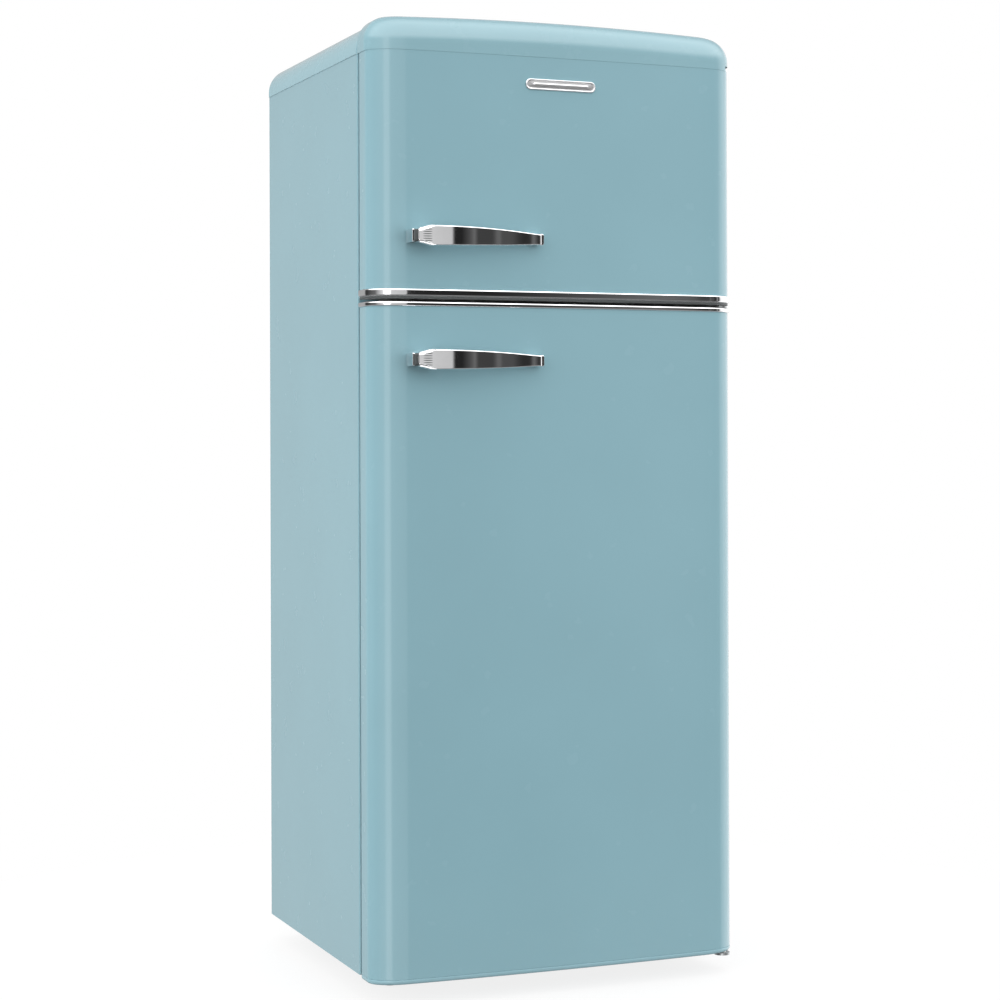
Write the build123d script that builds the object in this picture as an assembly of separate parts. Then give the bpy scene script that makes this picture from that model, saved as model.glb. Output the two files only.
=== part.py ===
from build123d import *
import math
import os

# A retro top-freezer refrigerator. Millimetres, +X to the right, +Y to the back, +Z up, doors facing -Y.
# The origin is on the floor, under the middle of the overall box.

# ---------------------------------------------------------------- driving dimensions
HALF_WIDTH = 294.0  # side panels and door skins
HEIGHT = 1440.0  # top of the crowned lid
DEPTH_HALF = 306.0  # handles in front, wall spacers behind
PROUD = 1.5  # how far the lid and the caps stand out from the skins at each side

CABINET_FRONT = -196.0
CABINET_REAR = 268.0
CABINET_BOTTOM = 36.0
LID_BOTTOM = 1384.0
LID_CORNER = 42.0
LID_CROWN = 7.0
LID_WALL = 3.0
SHEET = 1.0  # steel sheet
LINER = 2.0  # vacuum-formed plastic sheet

DOOR_BACK = -204.0
DOOR_FRONT = -266.0
DOOR_BOW = 5.0
DOOR_CORNER_X = 54.0
DOOR_CORNER_Y = 33.0
FRIDGE_DOOR_BOTTOM = 31.0
FRIDGE_DOOR_TOP = 1019.0
FREEZER_DOOR_BOTTOM = 1023.4
BOTTOM_CAP_LIP = 7.5
LOWER_TRIM = 7.0  # height of the chrome strip on the fridge door
UPPER_TRIM = 10.5  # height of the chrome strip on the freezer door
TRIM_PROUD = 2.5
DARK_LIP = 3.6  # dark lip under the freezer door's chrome strip
CAP_SEAM = 1.5  # between the freezer door's skin and its domed cap
CAP_BACK = -200.5
CAP_WALL = 2.5
CAP_ROUND = 38.0

HINGE_X = 280.0
HINGE_Y = -234.0
PIN_R = 4.0
BUSH_BORE_R = 4.05
BUSH_R = 6.5
BOSS_R = 11.0

FREEZER_HALF = 240.0
FREEZER_BACK = 205.0
FREEZER_FLOOR = 1052.0
FREEZER_CEILING = 1330.0
FRIDGE_HALF = 250.0
FRIDGE_BACK = 215.0
FRIDGE_FLOOR = 110.0
FRIDGE_CEILING = 988.0
HUMP_FRONT = 82.0
HUMP_TOP = 262.0
MACHINE_FRONT = 125.0
MACHINE_TOP = 217.0
FOAM_BOTTOM = 60.0
FLANGE_X = 262.0  # inner edge of the side panels' front flanges

GASKET_X = 282.0
GASKET_WIDTH = 14.0
GASKET_BACK = -196.6
DIKE_BACK = -146.0
DIKE_WIDTH = 28.0

SHELF_FRONT = -88.0
SHELF_BACK = 208.0
GLASS = 4.0
GLASS_HALF = 247.0
SHELF_LEVELS = {"upper": 745.0, "lower": 505.0}
CRISPER_COVER_Z = 272.0

HANDLE_LEFT = -243.0
HANDLE_RIGHT = -31.0
HANDLE_LEVELS = {"freezer": 1113.0, "fridge": 934.0}
FLUTES = 6  # grooves along each handle's barrel
FLUTE_PITCH = 3.3
FLUTE_WIDTH = 0.9
FLUTE_DEPTH = 0.5
BADGE_Z = 1343.0

FOOT_X = 222.0
FOOT_Y = -122.0
ROLLER_X = 205.0
ROLLER_Y = 236.0
ROLLER_R = 16.0
AXLE_R = 3.0
FOOT_STEM_R = 5.0

FREEZER_SHELF_Z = 1192.0
CRISPER_FRONT = -72.0
LAMP_BOX = (206.0, 250.0, -96.0, 86.0, 872.0, 972.0)  # x0, x1, y0, y1, z0, z1
LENS_Y = (-8.0, 78.0)
KNOB_Y = -58.0
KNOB_Z = 936.0
PLUNGER_X = 226.0
PLUNGER_Z = 900.0
PLUNGER_R = 4.0

COMPRESSOR_X = -50.0
COMPRESSOR_Y = 194.0
COMPRESSOR_R = 60.0
MOUNT_X = 75.0  # compressor mounts, from its middle
MOUNT_Y = 45.0
CONDENSER_Y = 290.0
CONDENSER_HALF = 215.0
CONDENSER_BOTTOM = 300.0
CONDENSER_PASSES = 20
CONDENSER_PITCH = 48.0
TUBE_R = 2.4

SKIN_BOTTOM = FREEZER_DOOR_BOTTOM + DARK_LIP + UPPER_TRIM
INNER_BACK = DOOR_BACK - SHEET
LOWER_SKIN_TOP = FRIDGE_DOOR_TOP - LOWER_TRIM
LOWER_SKIN_BOTTOM = FRIDGE_DOOR_BOTTOM + BOTTOM_CAP_LIP
CAP_BOTTOM = LID_BOTTOM + CAP_SEAM
TOP_ARM_Z = CAP_BOTTOM + 1.5
ARM = 3.0

parts = {}


# ---------------------------------------------------------------- shape helpers
def block(x0, x1, y0, y1, z0, z1):
    centre = Pos((x0 + x1) / 2, (y0 + y1) / 2, (z0 + z1) / 2)
    return centre * Box(x1 - x0, y1 - y0, z1 - z0)


def rod_x(x0, x1, y, z, r):
    return Pos((x0 + x1) / 2, y, z) * Rot(0, 90, 0) * Cylinder(r, x1 - x0)


def rod_y(x, y0, y1, z, r):
    return Pos(x, (y0 + y1) / 2, z) * Rot(90, 0, 0) * Cylinder(r, y1 - y0)


def rod_z(x, y, z0, z1, r):
    return Pos(x, y, (z0 + z1) / 2) * Cylinder(r, z1 - z0)


def frame_ring(half, edge, y0, y1, z0, z1):
    """A rectangular ring standing in the XZ plane, edge wide and y0 to y1 thick."""
    outer = block(-half, half, y0, y1, z0, z1)
    return outer - block(-half + edge, half - edge, y0 - 1, y1 + 1, z0 + edge, z1 - edge)


def both_sides(shape):
    return [shape, mirror(shape, about=Plane.YZ)]


def fused(pieces):
    whole = pieces[0]
    for piece in pieces[1:]:
        whole = whole + piece
    return whole


def bowed_face(half, base, crest, bow, corner_u, corner_v):
    """A flat-sided outline whose far edge bows to the crest, with elliptical corners."""
    turn = 0.5523
    side = 1 if crest > base else -1
    edge = crest - side * bow
    run = half - corner_u
    slope = math.tan(2 * math.atan(bow / run))
    left = (-half, edge - side * corner_v)
    start = (-run, edge)
    lines = [
        Line((-half, base), left),
        Bezier(
            left,
            (-half, edge - side * corner_v * (1 - turn)),
            (-run - turn * corner_u, edge - side * turn * corner_u * slope),
            start,
        ),
        ThreePointArc(start, (0, crest), (run, edge)),
        Bezier(
            (run, edge),
            (run + turn * corner_u, edge - side * turn * corner_u * slope),
            (half, edge - side * corner_v * (1 - turn)),
            (half, edge - side * corner_v),
        ),
        Line((half, edge - side * corner_v), (half, base)),
        Line((half, base), (-half, base)),
    ]
    return make_face(lines)


def door_slab(inset, z0, z1, back=DOOR_BACK):
    plan = bowed_face(
        HALF_WIDTH - inset,
        back,
        DOOR_FRONT + inset,
        DOOR_BOW,
        DOOR_CORNER_X - inset,
        DOOR_CORNER_Y - inset,
    )
    return extrude(Pos(0, 0, z0) * plan, z1 - z0, dir=(0, 0, 1))


def lid_slab(inset, y0, y1, z0):
    section = bowed_face(
        HALF_WIDTH + PROUD - inset,
        z0,
        HEIGHT - inset,
        LID_CROWN,
        LID_CORNER - inset,
        LID_CORNER - inset,
    )
    return extrude(Pos(0, y1, 0) * (Plane.XZ * section), y1 - y0, dir=(0, -1, 0))


def open_box(x0, x1, y0, y1, z0, z1, wall):
    """A tub open at the top."""
    outer = fillet(block(x0, x1, y0, y1, z0, z1).edges().filter_by(Axis.Z), 8)
    return outer - block(x0 + wall, x1 - wall, y0 + wall, y1 - wall, z0 + wall, z1 + 1)


# ---------------------------------------------------------------- cabinet
def side_panel():
    skin = block(HALF_WIDTH - SHEET, HALF_WIDTH, CABINET_FRONT, CABINET_REAR, CABINET_BOTTOM, LID_BOTTOM)
    front = block(FLANGE_X, HALF_WIDTH, CABINET_FRONT, CABINET_FRONT + SHEET, CABINET_BOTTOM, LID_BOTTOM)
    rear = block(280, HALF_WIDTH, CABINET_REAR - SHEET, CABINET_REAR, CABINET_BOTTOM, LID_BOTTOM)
    return skin + front + rear


def top_cover():
    plan = block(-HALF_WIDTH - PROUD, HALF_WIDTH + PROUD, CABINET_FRONT, CABINET_REAR, LID_BOTTOM, HEIGHT)
    rear_edges = plan.edges().filter_by(Axis.Z).group_by(Axis.Y)[-1]
    outer = lid_slab(0, CABINET_FRONT, CABINET_REAR, LID_BOTTOM) & fillet(rear_edges, 14)
    inner = lid_slab(LID_WALL, CABINET_FRONT + LID_WALL, CABINET_REAR - LID_WALL, LID_BOTTOM - 1)
    arm_slot = block(264, 289, CABINET_FRONT - 1, CABINET_FRONT + 4, LID_BOTTOM - 1, TOP_ARM_Z + ARM + 1.5)
    return outer - inner - arm_slot


def fridge_space(grow):
    front = CABINET_FRONT - 1
    half = FRIDGE_HALF + grow
    room = block(-half, half, front, FRIDGE_BACK + grow, FRIDGE_FLOOR - grow, FRIDGE_CEILING + grow)
    hump = block(-half - 1, half + 1, HUMP_FRONT + grow, 300, 0, HUMP_TOP - grow)
    return room - hump


def freezer_space(grow):
    half = FREEZER_HALF + grow
    floor = FREEZER_FLOOR - grow
    ceiling = FREEZER_CEILING + grow
    return block(-half, half, CABINET_FRONT - 1, FREEZER_BACK + grow, floor, ceiling)


def fridge_liner():
    flange = block(
        -FLANGE_X, FLANGE_X, CABINET_FRONT, CABINET_FRONT + SHEET, FOAM_BOTTOM, FRIDGE_CEILING + LINER
    )
    shell = fridge_space(LINER) & block(-400, 400, CABINET_FRONT, 400, 0, HEIGHT)
    liner = flange + shell - fridge_space(0)
    for level in [*SHELF_LEVELS.values(), CRISPER_COVER_Z]:
        rib = block(FRIDGE_HALF - 9, FRIDGE_HALF + 1, SHELF_FRONT - 4, SHELF_BACK - 4, level - 8, level)
        liner = fused([liner, *both_sides(rib)])
    return liner


def freezer_liner():
    flange = block(
        -FLANGE_X, FLANGE_X, CABINET_FRONT, CABINET_FRONT + SHEET, FREEZER_FLOOR - LINER, LID_BOTTOM
    )
    shell = freezer_space(LINER) & block(-400, 400, CABINET_FRONT, 400, 0, HEIGHT)
    liner = flange + shell - freezer_space(0)
    rib = block(FREEZER_HALF - 9, FREEZER_HALF + 1, -92, 185, FREEZER_SHELF_Z - 10, FREEZER_SHELF_Z - 4)
    return fused([liner, *both_sides(rib)])


def insulation_foam():
    inside = HALF_WIDTH - SHEET
    front, rear = CABINET_FRONT + SHEET, CABINET_REAR - SHEET
    foam = block(-inside, inside, front, rear, FOAM_BOTTOM + 1.5, LID_BOTTOM)
    foam = foam - fridge_space(LINER) - freezer_space(LINER)
    foam = foam - block(-inside - 1, inside + 1, MACHINE_FRONT - 1.5, 300, 0, MACHINE_TOP + 1.5)
    return foam - fused(hinge_screws())


def middle_rail():
    low, high = FRIDGE_CEILING + LINER, FREEZER_FLOOR - LINER
    strip = block(-FLANGE_X, FLANGE_X, CABINET_FRONT, CABINET_FRONT + SHEET, low, high)
    return strip - fused(hinge_screws())


def back_panel():
    panel = block(-280, 280, CABINET_REAR - SHEET, CABINET_REAR, MACHINE_TOP + 1.5, LID_BOTTOM)
    for z in range(350, 1150, 170):
        panel = panel + block(-250, 250, CABINET_REAR - SHEET, CABINET_REAR + 1.2, z, z + 10)
    return panel


def base_frame():
    """Welded base: stepped tray that closes the foam, runners, foot nuts and compressor plate."""
    inside = HALF_WIDTH - SHEET
    rear = CABINET_REAR - SHEET
    bottom, top = CABINET_BOTTOM, CABINET_BOTTOM + 3
    sheet = 1.5
    pieces = [
        block(-inside, inside, CABINET_FRONT + SHEET, MACHINE_FRONT, FOAM_BOTTOM, FOAM_BOTTOM + sheet),
        block(-inside, inside, MACHINE_FRONT - sheet, MACHINE_FRONT, bottom, MACHINE_TOP + sheet),
        block(-inside, inside, MACHINE_FRONT - sheet, rear, MACHINE_TOP, MACHINE_TOP + sheet),
        block(-inside, inside, -195, FOOT_Y + 18, bottom, top),
        block(-FLANGE_X, FLANGE_X, CABINET_FRONT, CABINET_FRONT + 3, bottom, FOAM_BOTTOM),
        block(-inside, inside, MACHINE_FRONT - 15, 266, bottom, top),
    ]
    pieces += both_sides(block(inside - 34, inside, -195, 266, bottom, top))
    pieces += both_sides(block(inside - 36, inside - 33, -190, MACHINE_FRONT, bottom, FOAM_BOTTOM + sheet))
    pieces += both_sides(rod_z(FOOT_X, FOOT_Y, bottom, bottom + 16, 12))
    for side in (-1, 1):
        for offset in (-13, 13):
            x = side * ROLLER_X + offset
            pieces.append(block(x - 1.5, x + 1.5, ROLLER_Y - 12, ROLLER_Y + 12, 9, bottom + 1))
    frame = fused(pieces)
    for side in (-1, 1):
        wheel_x = side * ROLLER_X
        frame = frame - rod_z(side * FOOT_X, FOOT_Y, 0, 60, FOOT_STEM_R + 0.08)
        frame = frame - block(wheel_x - 11.5, wheel_x + 11.5, ROLLER_Y - 18, ROLLER_Y + 18, 35, top + 1)
        axle = rod_x(wheel_x - 15.5, wheel_x + 15.5, ROLLER_Y, ROLLER_R, AXLE_R)
        frame = frame + axle
    for x, y in compressor_mounts():
        frame = frame - rod_z(x, y, bottom - 2, top + 2, 4)
    return frame - fused(hinge_screws())


def compressor_mounts():
    return [
        (COMPRESSOR_X + dx, COMPRESSOR_Y + dy)
        for dx in (-MOUNT_X, MOUNT_X)
        for dy in (-MOUNT_Y, MOUNT_Y)
    ]


def roller(side):
    x = side * ROLLER_X
    wheel = rod_x(x - 10, x + 10, ROLLER_Y, ROLLER_R, ROLLER_R)
    wheel = fillet(wheel.edges(), 1.5)
    groove = rod_x(x - 11, x - 7, ROLLER_Y, ROLLER_R, 11) - rod_x(x - 11, x - 7, ROLLER_Y, ROLLER_R, 6)
    return wheel - groove - rod_x(x - 11, x + 11, ROLLER_Y, ROLLER_R, AXLE_R + 0.08)


def levelling_foot(side):
    x = side * FOOT_X
    pad = fillet(rod_z(x, FOOT_Y, 0, 9, 19).edges(), 1.2)
    nut = extrude(Pos(x, FOOT_Y, 9) * RegularPolygon(9, 6), 8, dir=(0, 0, 1))
    stem = rod_z(x, FOOT_Y, 15, 57, FOOT_STEM_R)
    return pad + nut + stem


# ---------------------------------------------------------------- hinges
def hinge_arm(z, thickness, root_y, half_width, inner_x):
    """A flat arm from the cabinet to a rounded tip round the hinge axis."""
    tip = rod_z(HINGE_X, HINGE_Y, z, z + thickness, half_width)
    neck = block(HINGE_X - half_width, HINGE_X + half_width, HINGE_Y, root_y, z, z + thickness)
    root = block(inner_x, HINGE_X + half_width, root_y - 3, root_y, z, z + thickness)
    return tip + neck + root


def top_hinge():
    arm = hinge_arm(TOP_ARM_Z, ARM, -130, 7.5, HINGE_X - 7.5)
    pad = block(240, 290, -188, -126, LID_BOTTOM, TOP_ARM_Z + ARM)
    pad = pad - block(239, 271.5, -189, -125, LID_BOTTOM + ARM, TOP_ARM_Z + ARM + 1)
    pin = rod_z(HINGE_X, HINGE_Y, CAP_BOTTOM - 19, TOP_ARM_Z + 1, PIN_R)
    return arm + pad + pin - fused(hinge_screws())


def middle_hinge():
    z = 1019.9
    arm = hinge_arm(z, 2.6, CABINET_FRONT - 2, 11, 236)
    tab = block(236, HINGE_X + 11, CABINET_FRONT - 2, CABINET_FRONT, 1010.5, 1031.5)
    pin = rod_z(HINGE_X, HINGE_Y, z - 17, z + 19, PIN_R)
    return arm + tab + pin - fused(hinge_screws())


def bottom_hinge():
    z = 24.5
    arm = hinge_arm(z, 3.5, CABINET_FRONT - 3, 12, 226)
    tab = block(226, HINGE_X + 12, CABINET_FRONT - 3, CABINET_FRONT, z, FOAM_BOTTOM - 2)
    pin = rod_z(HINGE_X, HINGE_Y, z + 1, 50, PIN_R)
    return arm + tab + pin - fused(hinge_screws())


def hinge_screws():
    screws = []
    for x, z, y in ((244, 1015.5, 2), (244, 1026.5, 2), (236, 44, 3), (256, 44, 3)):
        face = CABINET_FRONT - y
        screws.append(rod_y(x, face - 1.8, face, z, 4) + rod_y(x, face, CABINET_FRONT + 12, z, 2))
    for x, y in ((250, -175), (250, -140)):
        top = LID_BOTTOM + ARM
        screws.append(rod_z(x, y, top, top + 2.2, 5) + rod_z(x, y, LID_BOTTOM - 14, top, 2.5))
    return screws


# ---------------------------------------------------------------- rear and machine compartment
def compressor():
    x, y = COMPRESSOR_X, COMPRESSOR_Y
    body = fillet(rod_z(x, y, 58, 176, COMPRESSOR_R).edges(), 26)
    seam = rod_z(x, y, 118, 124, COMPRESSOR_R + 3)
    plate = block(x - MOUNT_X - 13, x + MOUNT_X + 13, y - MOUNT_Y - 10, y + MOUNT_Y + 10, 56, 59)
    relay = block(x + 50, x + 84, y - 26, y + 26, 80, 140)
    shell = body + seam + plate + relay
    for mount_x, mount_y in compressor_mounts():
        shell = shell - rod_z(mount_x, mount_y, 50, 70, 6)
    return shell


def compressor_grommets():
    return [
        rod_z(x, y, CABINET_BOTTOM + 3, 56, 9) + rod_z(x, y, 55, 62, 6) - rod_z(x, y, 30, 65, 4)
        for x, y in compressor_mounts()
    ]


def drip_tray():
    x = COMPRESSOR_X
    return open_box(x - 70, x + 70, COMPRESSOR_Y - 52, COMPRESSOR_Y + 52, 178, 204, 2)


def condenser():
    """One bent tube in level passes, with upright wires welded on both faces, on four clips."""
    pieces = []
    for n in range(CONDENSER_PASSES):
        z = CONDENSER_BOTTOM + n * CONDENSER_PITCH
        pieces.append(rod_x(-CONDENSER_HALF, CONDENSER_HALF, CONDENSER_Y, z, TUBE_R))
        if n < CONDENSER_PASSES - 1:
            side = 1 if n % 2 else -1
            bend = Torus(CONDENSER_PITCH / 2, TUBE_R)
            half = bend & block(0, 60, -60, 60, -10, 10)
            turned = Pos(side * CONDENSER_HALF, CONDENSER_Y, z + CONDENSER_PITCH / 2) * Rot(90, 0, 0)
            pieces.append(turned * (half if side > 0 else mirror(half, about=Plane.YZ)))
    top = CONDENSER_BOTTOM + (CONDENSER_PASSES - 1) * CONDENSER_PITCH
    for n in range(22):
        x = -200 + n * 400 / 21
        pieces.append(rod_z(x, CONDENSER_Y + 2.6, CONDENSER_BOTTOM - 12, top + 12, 1.0))
    for side in (-1, 1):
        for z in (CONDENSER_BOTTOM, top):
            x = side * 170
            pieces.append(block(x - 10, x + 10, CABINET_REAR, CONDENSER_Y + 1, z - 5, z + 5))
    return fused(pieces)


def pipe(points, radius, bend):
    path = FilletPolyline(points, radius=bend)
    return sweep(Plane(path @ 0, z_dir=path % 0) * Circle(radius), path=path)


def refrigerant_tubes():
    """Hot-gas line, filter-drier and suction line."""
    hot_x = COMPRESSOR_X - 102
    suction_y = COMPRESSOR_Y - 30
    hot = pipe(
        [
            (COMPRESSOR_X - COMPRESSOR_R, COMPRESSOR_Y, 110),
            (hot_x, COMPRESSOR_Y, 110),
            (hot_x, CONDENSER_Y, 150),
            (hot_x, CONDENSER_Y, CONDENSER_BOTTOM - TUBE_R),
        ],
        TUBE_R,
        14,
    )
    drier = rod_z(120, 240, 90, 190, 9) + rod_z(120, 240, 80, 200, 4)
    suction = pipe(
        [
            (COMPRESSOR_X + 50, suction_y, 140),
            (COMPRESSOR_X + 120, suction_y, 140),
            (COMPRESSOR_X + 120, suction_y, MACHINE_TOP),
        ],
        4,
        18,
    )
    suction = suction - rod_z(COMPRESSOR_X, COMPRESSOR_Y, 100, 176, COMPRESSOR_R + 0.05)
    return [hot, drier, suction]


def power_inlet():
    """Flanged appliance inlet on an upright bracket at the rear right of the compartment."""
    bracket = block(200, 250, 250, 252, CABINET_BOTTOM + 3, 140) - block(208, 242, 249, 253, 88, 128)
    body = block(208, 242, 230, 256, 88, 128) - block(212, 238, 236, 257, 92, 124)
    pins = [rod_y(225 + dx, 235, 252, 108 + dz, 2) for dx, dz in ((-8, 0), (8, 0), (0, 8))]
    return fused([bracket + body, *pins])


def wall_spacers():
    spacers = []
    for x in (-200, 200):
        spacer = block(x - 22, x + 22, CABINET_REAR, DEPTH_HALF, 1300, 1344)
        spacers.append(chamfer(spacer.faces().sort_by(Axis.Y)[-1].edges(), 5))
    return spacers


# ---------------------------------------------------------------- inside the cabinet
def evaporator():
    """Roll-bonded plate on the freezer's rear wall, with raised channels."""
    plate = block(-222, 222, FREEZER_BACK - 6, FREEZER_BACK - 4, 1066, 1316)
    front, rear = FREEZER_BACK - 9, FREEZER_BACK - 5
    channels = [block(-205, 205, front, rear, z, z + 9) for z in range(1082, 1300, 27)]
    posts = [rod_y(x, FREEZER_BACK - 5, FREEZER_BACK, z, 5) for x in (-212, 212) for z in (1076, 1306)]
    return fused([plate, *channels, *posts])


def freezer_shelf():
    z = FREEZER_SHELF_Z
    wires = [rod_y(x, -90, 182, z + 2, 1.5) for x in range(-220, 221, 20)]
    bars = [rod_x(-238, 238, y, z - 1, 2.5) for y in (-88, 45, 178)]
    return fused(bars + wires)


def glass_shelf(level):
    sheet = block(-GLASS_HALF, GLASS_HALF, SHELF_FRONT, SHELF_BACK, level, level + GLASS)
    return fillet(sheet.edges().filter_by(Axis.Z), 4)


def lamp_housing():
    x0, x1, y0, y1, z0, z1 = LAMP_BOX
    box = block(x0, x1, y0, y1, z0, z1)
    box = fillet(box.faces().sort_by(Axis.X)[0].edges(), 5)
    box = box - block(x0 - 1, x1 - 4, *LENS_Y, z0 + 8, z1 - 8)
    box = box - rod_y(PLUNGER_X, y0 - 1, y0 + 40, PLUNGER_Z, PLUNGER_R + 0.08)
    return box - rod_x(x0 - 1, x0 + 22, KNOB_Y, KNOB_Z, 3.08)


def lamp_lens():
    x0, _, _, _, z0, z1 = LAMP_BOX
    y0, y1 = LENS_Y
    lens = block(x0, x0 + 12, y0, y1, z0 + 8, z1 - 8)
    return lens - block(x0 + 2, x0 + 13, y0 + 2, y1 - 2, z0 + 10, z1 - 10)


def lamp():
    x, y, z = 232, 35, 912
    bulb = Pos(x, y, z) * Sphere(12)
    return bulb + rod_z(x, y, z + 8, z + 30, 7) + rod_z(x, y, z + 28, LAMP_BOX[5] - 8, 10)


def thermostat_knob():
    x0 = LAMP_BOX[0]
    disc = fillet(rod_x(x0 - 16, x0 - 0.4, KNOB_Y, KNOB_Z, 19).edges(), 1.5)
    grip = block(x0 - 24, x0 - 15, KNOB_Y - 4, KNOB_Y + 4, KNOB_Z - 17, KNOB_Z + 17)
    shaft = rod_x(x0 - 2, x0 + 20, KNOB_Y, KNOB_Z, 3.0)
    return disc + grip + shaft


def light_switch_plunger():
    tip = DIKE_BACK + 0.5
    stem = rod_y(PLUNGER_X, tip, LAMP_BOX[2] + 30, PLUNGER_Z, PLUNGER_R)
    return fillet(stem.edges().sort_by(Axis.Y)[0], 1.5)


def crisper_drawer():
    half = 237
    tub = open_box(-half, half, CRISPER_FRONT, HUMP_FRONT - 4, FRIDGE_FLOOR + 1, HUMP_TOP, 3)
    lip = block(-90, 90, CRISPER_FRONT - 8, CRISPER_FRONT + 1, HUMP_TOP - 24, HUMP_TOP - 20)
    drop = block(-90, 90, CRISPER_FRONT - 8, CRISPER_FRONT - 5, HUMP_TOP - 40, HUMP_TOP - 20)
    return tub + lip + drop


# ---------------------------------------------------------------- doors
def door_skin(z0, z1):
    skin = door_slab(0, z0, z1) - door_slab(SHEET, z0 - 1, z1 + 1, DOOR_BACK + 5)
    flange = block(HALF_WIDTH - 9, HALF_WIDTH - SHEET / 2, DOOR_BACK - SHEET, DOOR_BACK, z0, z1)
    return fused([skin, *both_sides(flange)])


def dike_solid(half, z0, z1, thin):
    """The raised rim on the inside of a door that carries the bins; thin trims it to the foam inside."""
    back = DIKE_BACK - thin
    start = DOOR_BACK - LINER - 2
    left = block(-half + thin, -half + DIKE_WIDTH - thin, start, back, z0 + thin, z1 - thin)
    sill = block(-half + thin, half - thin, start, back - 22, z0 + thin, z0 + 22 - thin)
    head = block(-half + thin, half - thin, start, back - 22, z1 - 22 + thin, z1 - thin)
    return fused([*both_sides(left), sill, head])


def door_liner(half, z0, z1, sheet_z0, sheet_z1):
    inside = HALF_WIDTH - 9
    sheet = block(-inside, inside, DOOR_BACK - LINER, DOOR_BACK, sheet_z0, sheet_z1)
    dikes = dike_solid(half, z0, z1, 0)
    hollow = dike_solid(half, z0, z1, LINER) + door_slab(0, sheet_z0, sheet_z1, DOOR_BACK - LINER)
    return (sheet + dikes) - hollow


def door_foam(half, z0, z1, foam_z0, foam_z1):
    body = door_slab(SHEET, foam_z0, foam_z1, DOOR_BACK - LINER)
    return body + dike_solid(half, z0, z1, LINER)


def bush(z0, z1):
    return rod_z(HINGE_X, HINGE_Y, z0, z1, BUSH_R) - rod_z(HINGE_X, HINGE_Y, z0 - 1, z1 + 1, BUSH_BORE_R)


def boss(z0, z1):
    """Thickened place in an end cap round a bush, kept inside the door skin."""
    post = rod_z(HINGE_X, HINGE_Y, z0, z1, BOSS_R)
    return post & door_slab(SHEET, z0, z1, DOOR_BACK - LINER)


def trim_strip(z0, z1):
    outer = door_slab(-TRIM_PROUD, z0, z1, DOOR_BACK - 1)
    front_edges = [e for e in outer.edges() if abs(e.bounding_box().size.Z) < 0.01]
    front_edges = [e for e in front_edges if e.center().Y < DOOR_BACK - 2]
    outer = fillet(front_edges, 2.2)
    return outer - door_slab(SHEET, z0 - 1, z1 + 1, DOOR_BACK + 5)


def freezer_bottom_cap():
    lip = door_slab(0, FREEZER_DOOR_BOTTOM, FREEZER_DOOR_BOTTOM + DARK_LIP)
    body = door_slab(SHEET, FREEZER_DOOR_BOTTOM, SKIN_BOTTOM, INNER_BACK)
    cap = fused([lip, body, boss(SKIN_BOTTOM - 1, SKIN_BOTTOM + 10)])
    recess = block(262, 300, -250, -200, FREEZER_DOOR_BOTTOM - 1, FREEZER_DOOR_BOTTOM + 0.8)
    return cap - recess - rod_z(HINGE_X, HINGE_Y, 1000, SKIN_BOTTOM + 20, BUSH_R)


def freezer_top_cap_plate():
    plate = door_slab(SHEET, LID_BOTTOM - 8, CAP_BOTTOM, INNER_BACK)
    cap = fused([plate, boss(LID_BOTTOM - 24, LID_BOTTOM - 7)])
    return cap - rod_z(HINGE_X, HINGE_Y, LID_BOTTOM - 30, HEIGHT, BUSH_R)


def cap_solid(inset):
    """Domed top of the freezer door: the door's plan, the lid's section and a rounded front edge."""
    front = DOOR_FRONT - PROUD + inset
    top = HEIGHT - inset
    round_r = CAP_ROUND - inset
    back = CAP_BACK - inset
    profile = [
        Line((back, CAP_BOTTOM), (back, top)),
        Line((back, top), (front + round_r, top)),
        ThreePointArc(
            (front + round_r, top),
            (front + round_r * (1 - math.sqrt(0.5)), top - round_r * (1 - math.sqrt(0.5))),
            (front, top - round_r),
        ),
        Line((front, top - round_r), (front, CAP_BOTTOM)),
        Line((front, CAP_BOTTOM), (back, CAP_BOTTOM)),
    ]
    rounded = extrude(Pos(-320, 0, 0) * (Plane.YZ * make_face(profile)), 640, dir=(1, 0, 0))
    plan = door_slab(inset - PROUD, CAP_BOTTOM, HEIGHT, back)
    return plan & lid_slab(inset, -320, back, CAP_BOTTOM) & rounded


def freezer_door_cap():
    cap = cap_solid(0) - cap_solid(CAP_WALL)
    arm_notch = block(255, 310, HINGE_Y - 13, CAP_BACK + 5, CAP_BOTTOM - 1, TOP_ARM_Z + ARM + 1.5)
    return cap - arm_notch


def fridge_top_cap():
    body = door_slab(SHEET, LOWER_SKIN_TOP - 7, FRIDGE_DOOR_TOP - 0.6, INNER_BACK)
    cap = fused([body, boss(LOWER_SKIN_TOP - 14, LOWER_SKIN_TOP)])
    recess = block(262, 300, -250, -200, FRIDGE_DOOR_TOP - 1.4, FRIDGE_DOOR_TOP + 1)
    return cap - recess - rod_z(HINGE_X, HINGE_Y, 990, 1030, BUSH_R)


def fridge_bottom_cap():
    lip = door_slab(-0.8, FRIDGE_DOOR_BOTTOM, LOWER_SKIN_BOTTOM, DOOR_BACK)
    plug = door_slab(SHEET, LOWER_SKIN_BOTTOM - 1, LOWER_SKIN_BOTTOM + 7, INNER_BACK)
    cap = fused([lip, plug, boss(LOWER_SKIN_BOTTOM, LOWER_SKIN_BOTTOM + 16)])
    return cap - rod_z(HINGE_X, HINGE_Y, 20, 80, BUSH_R)


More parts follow.
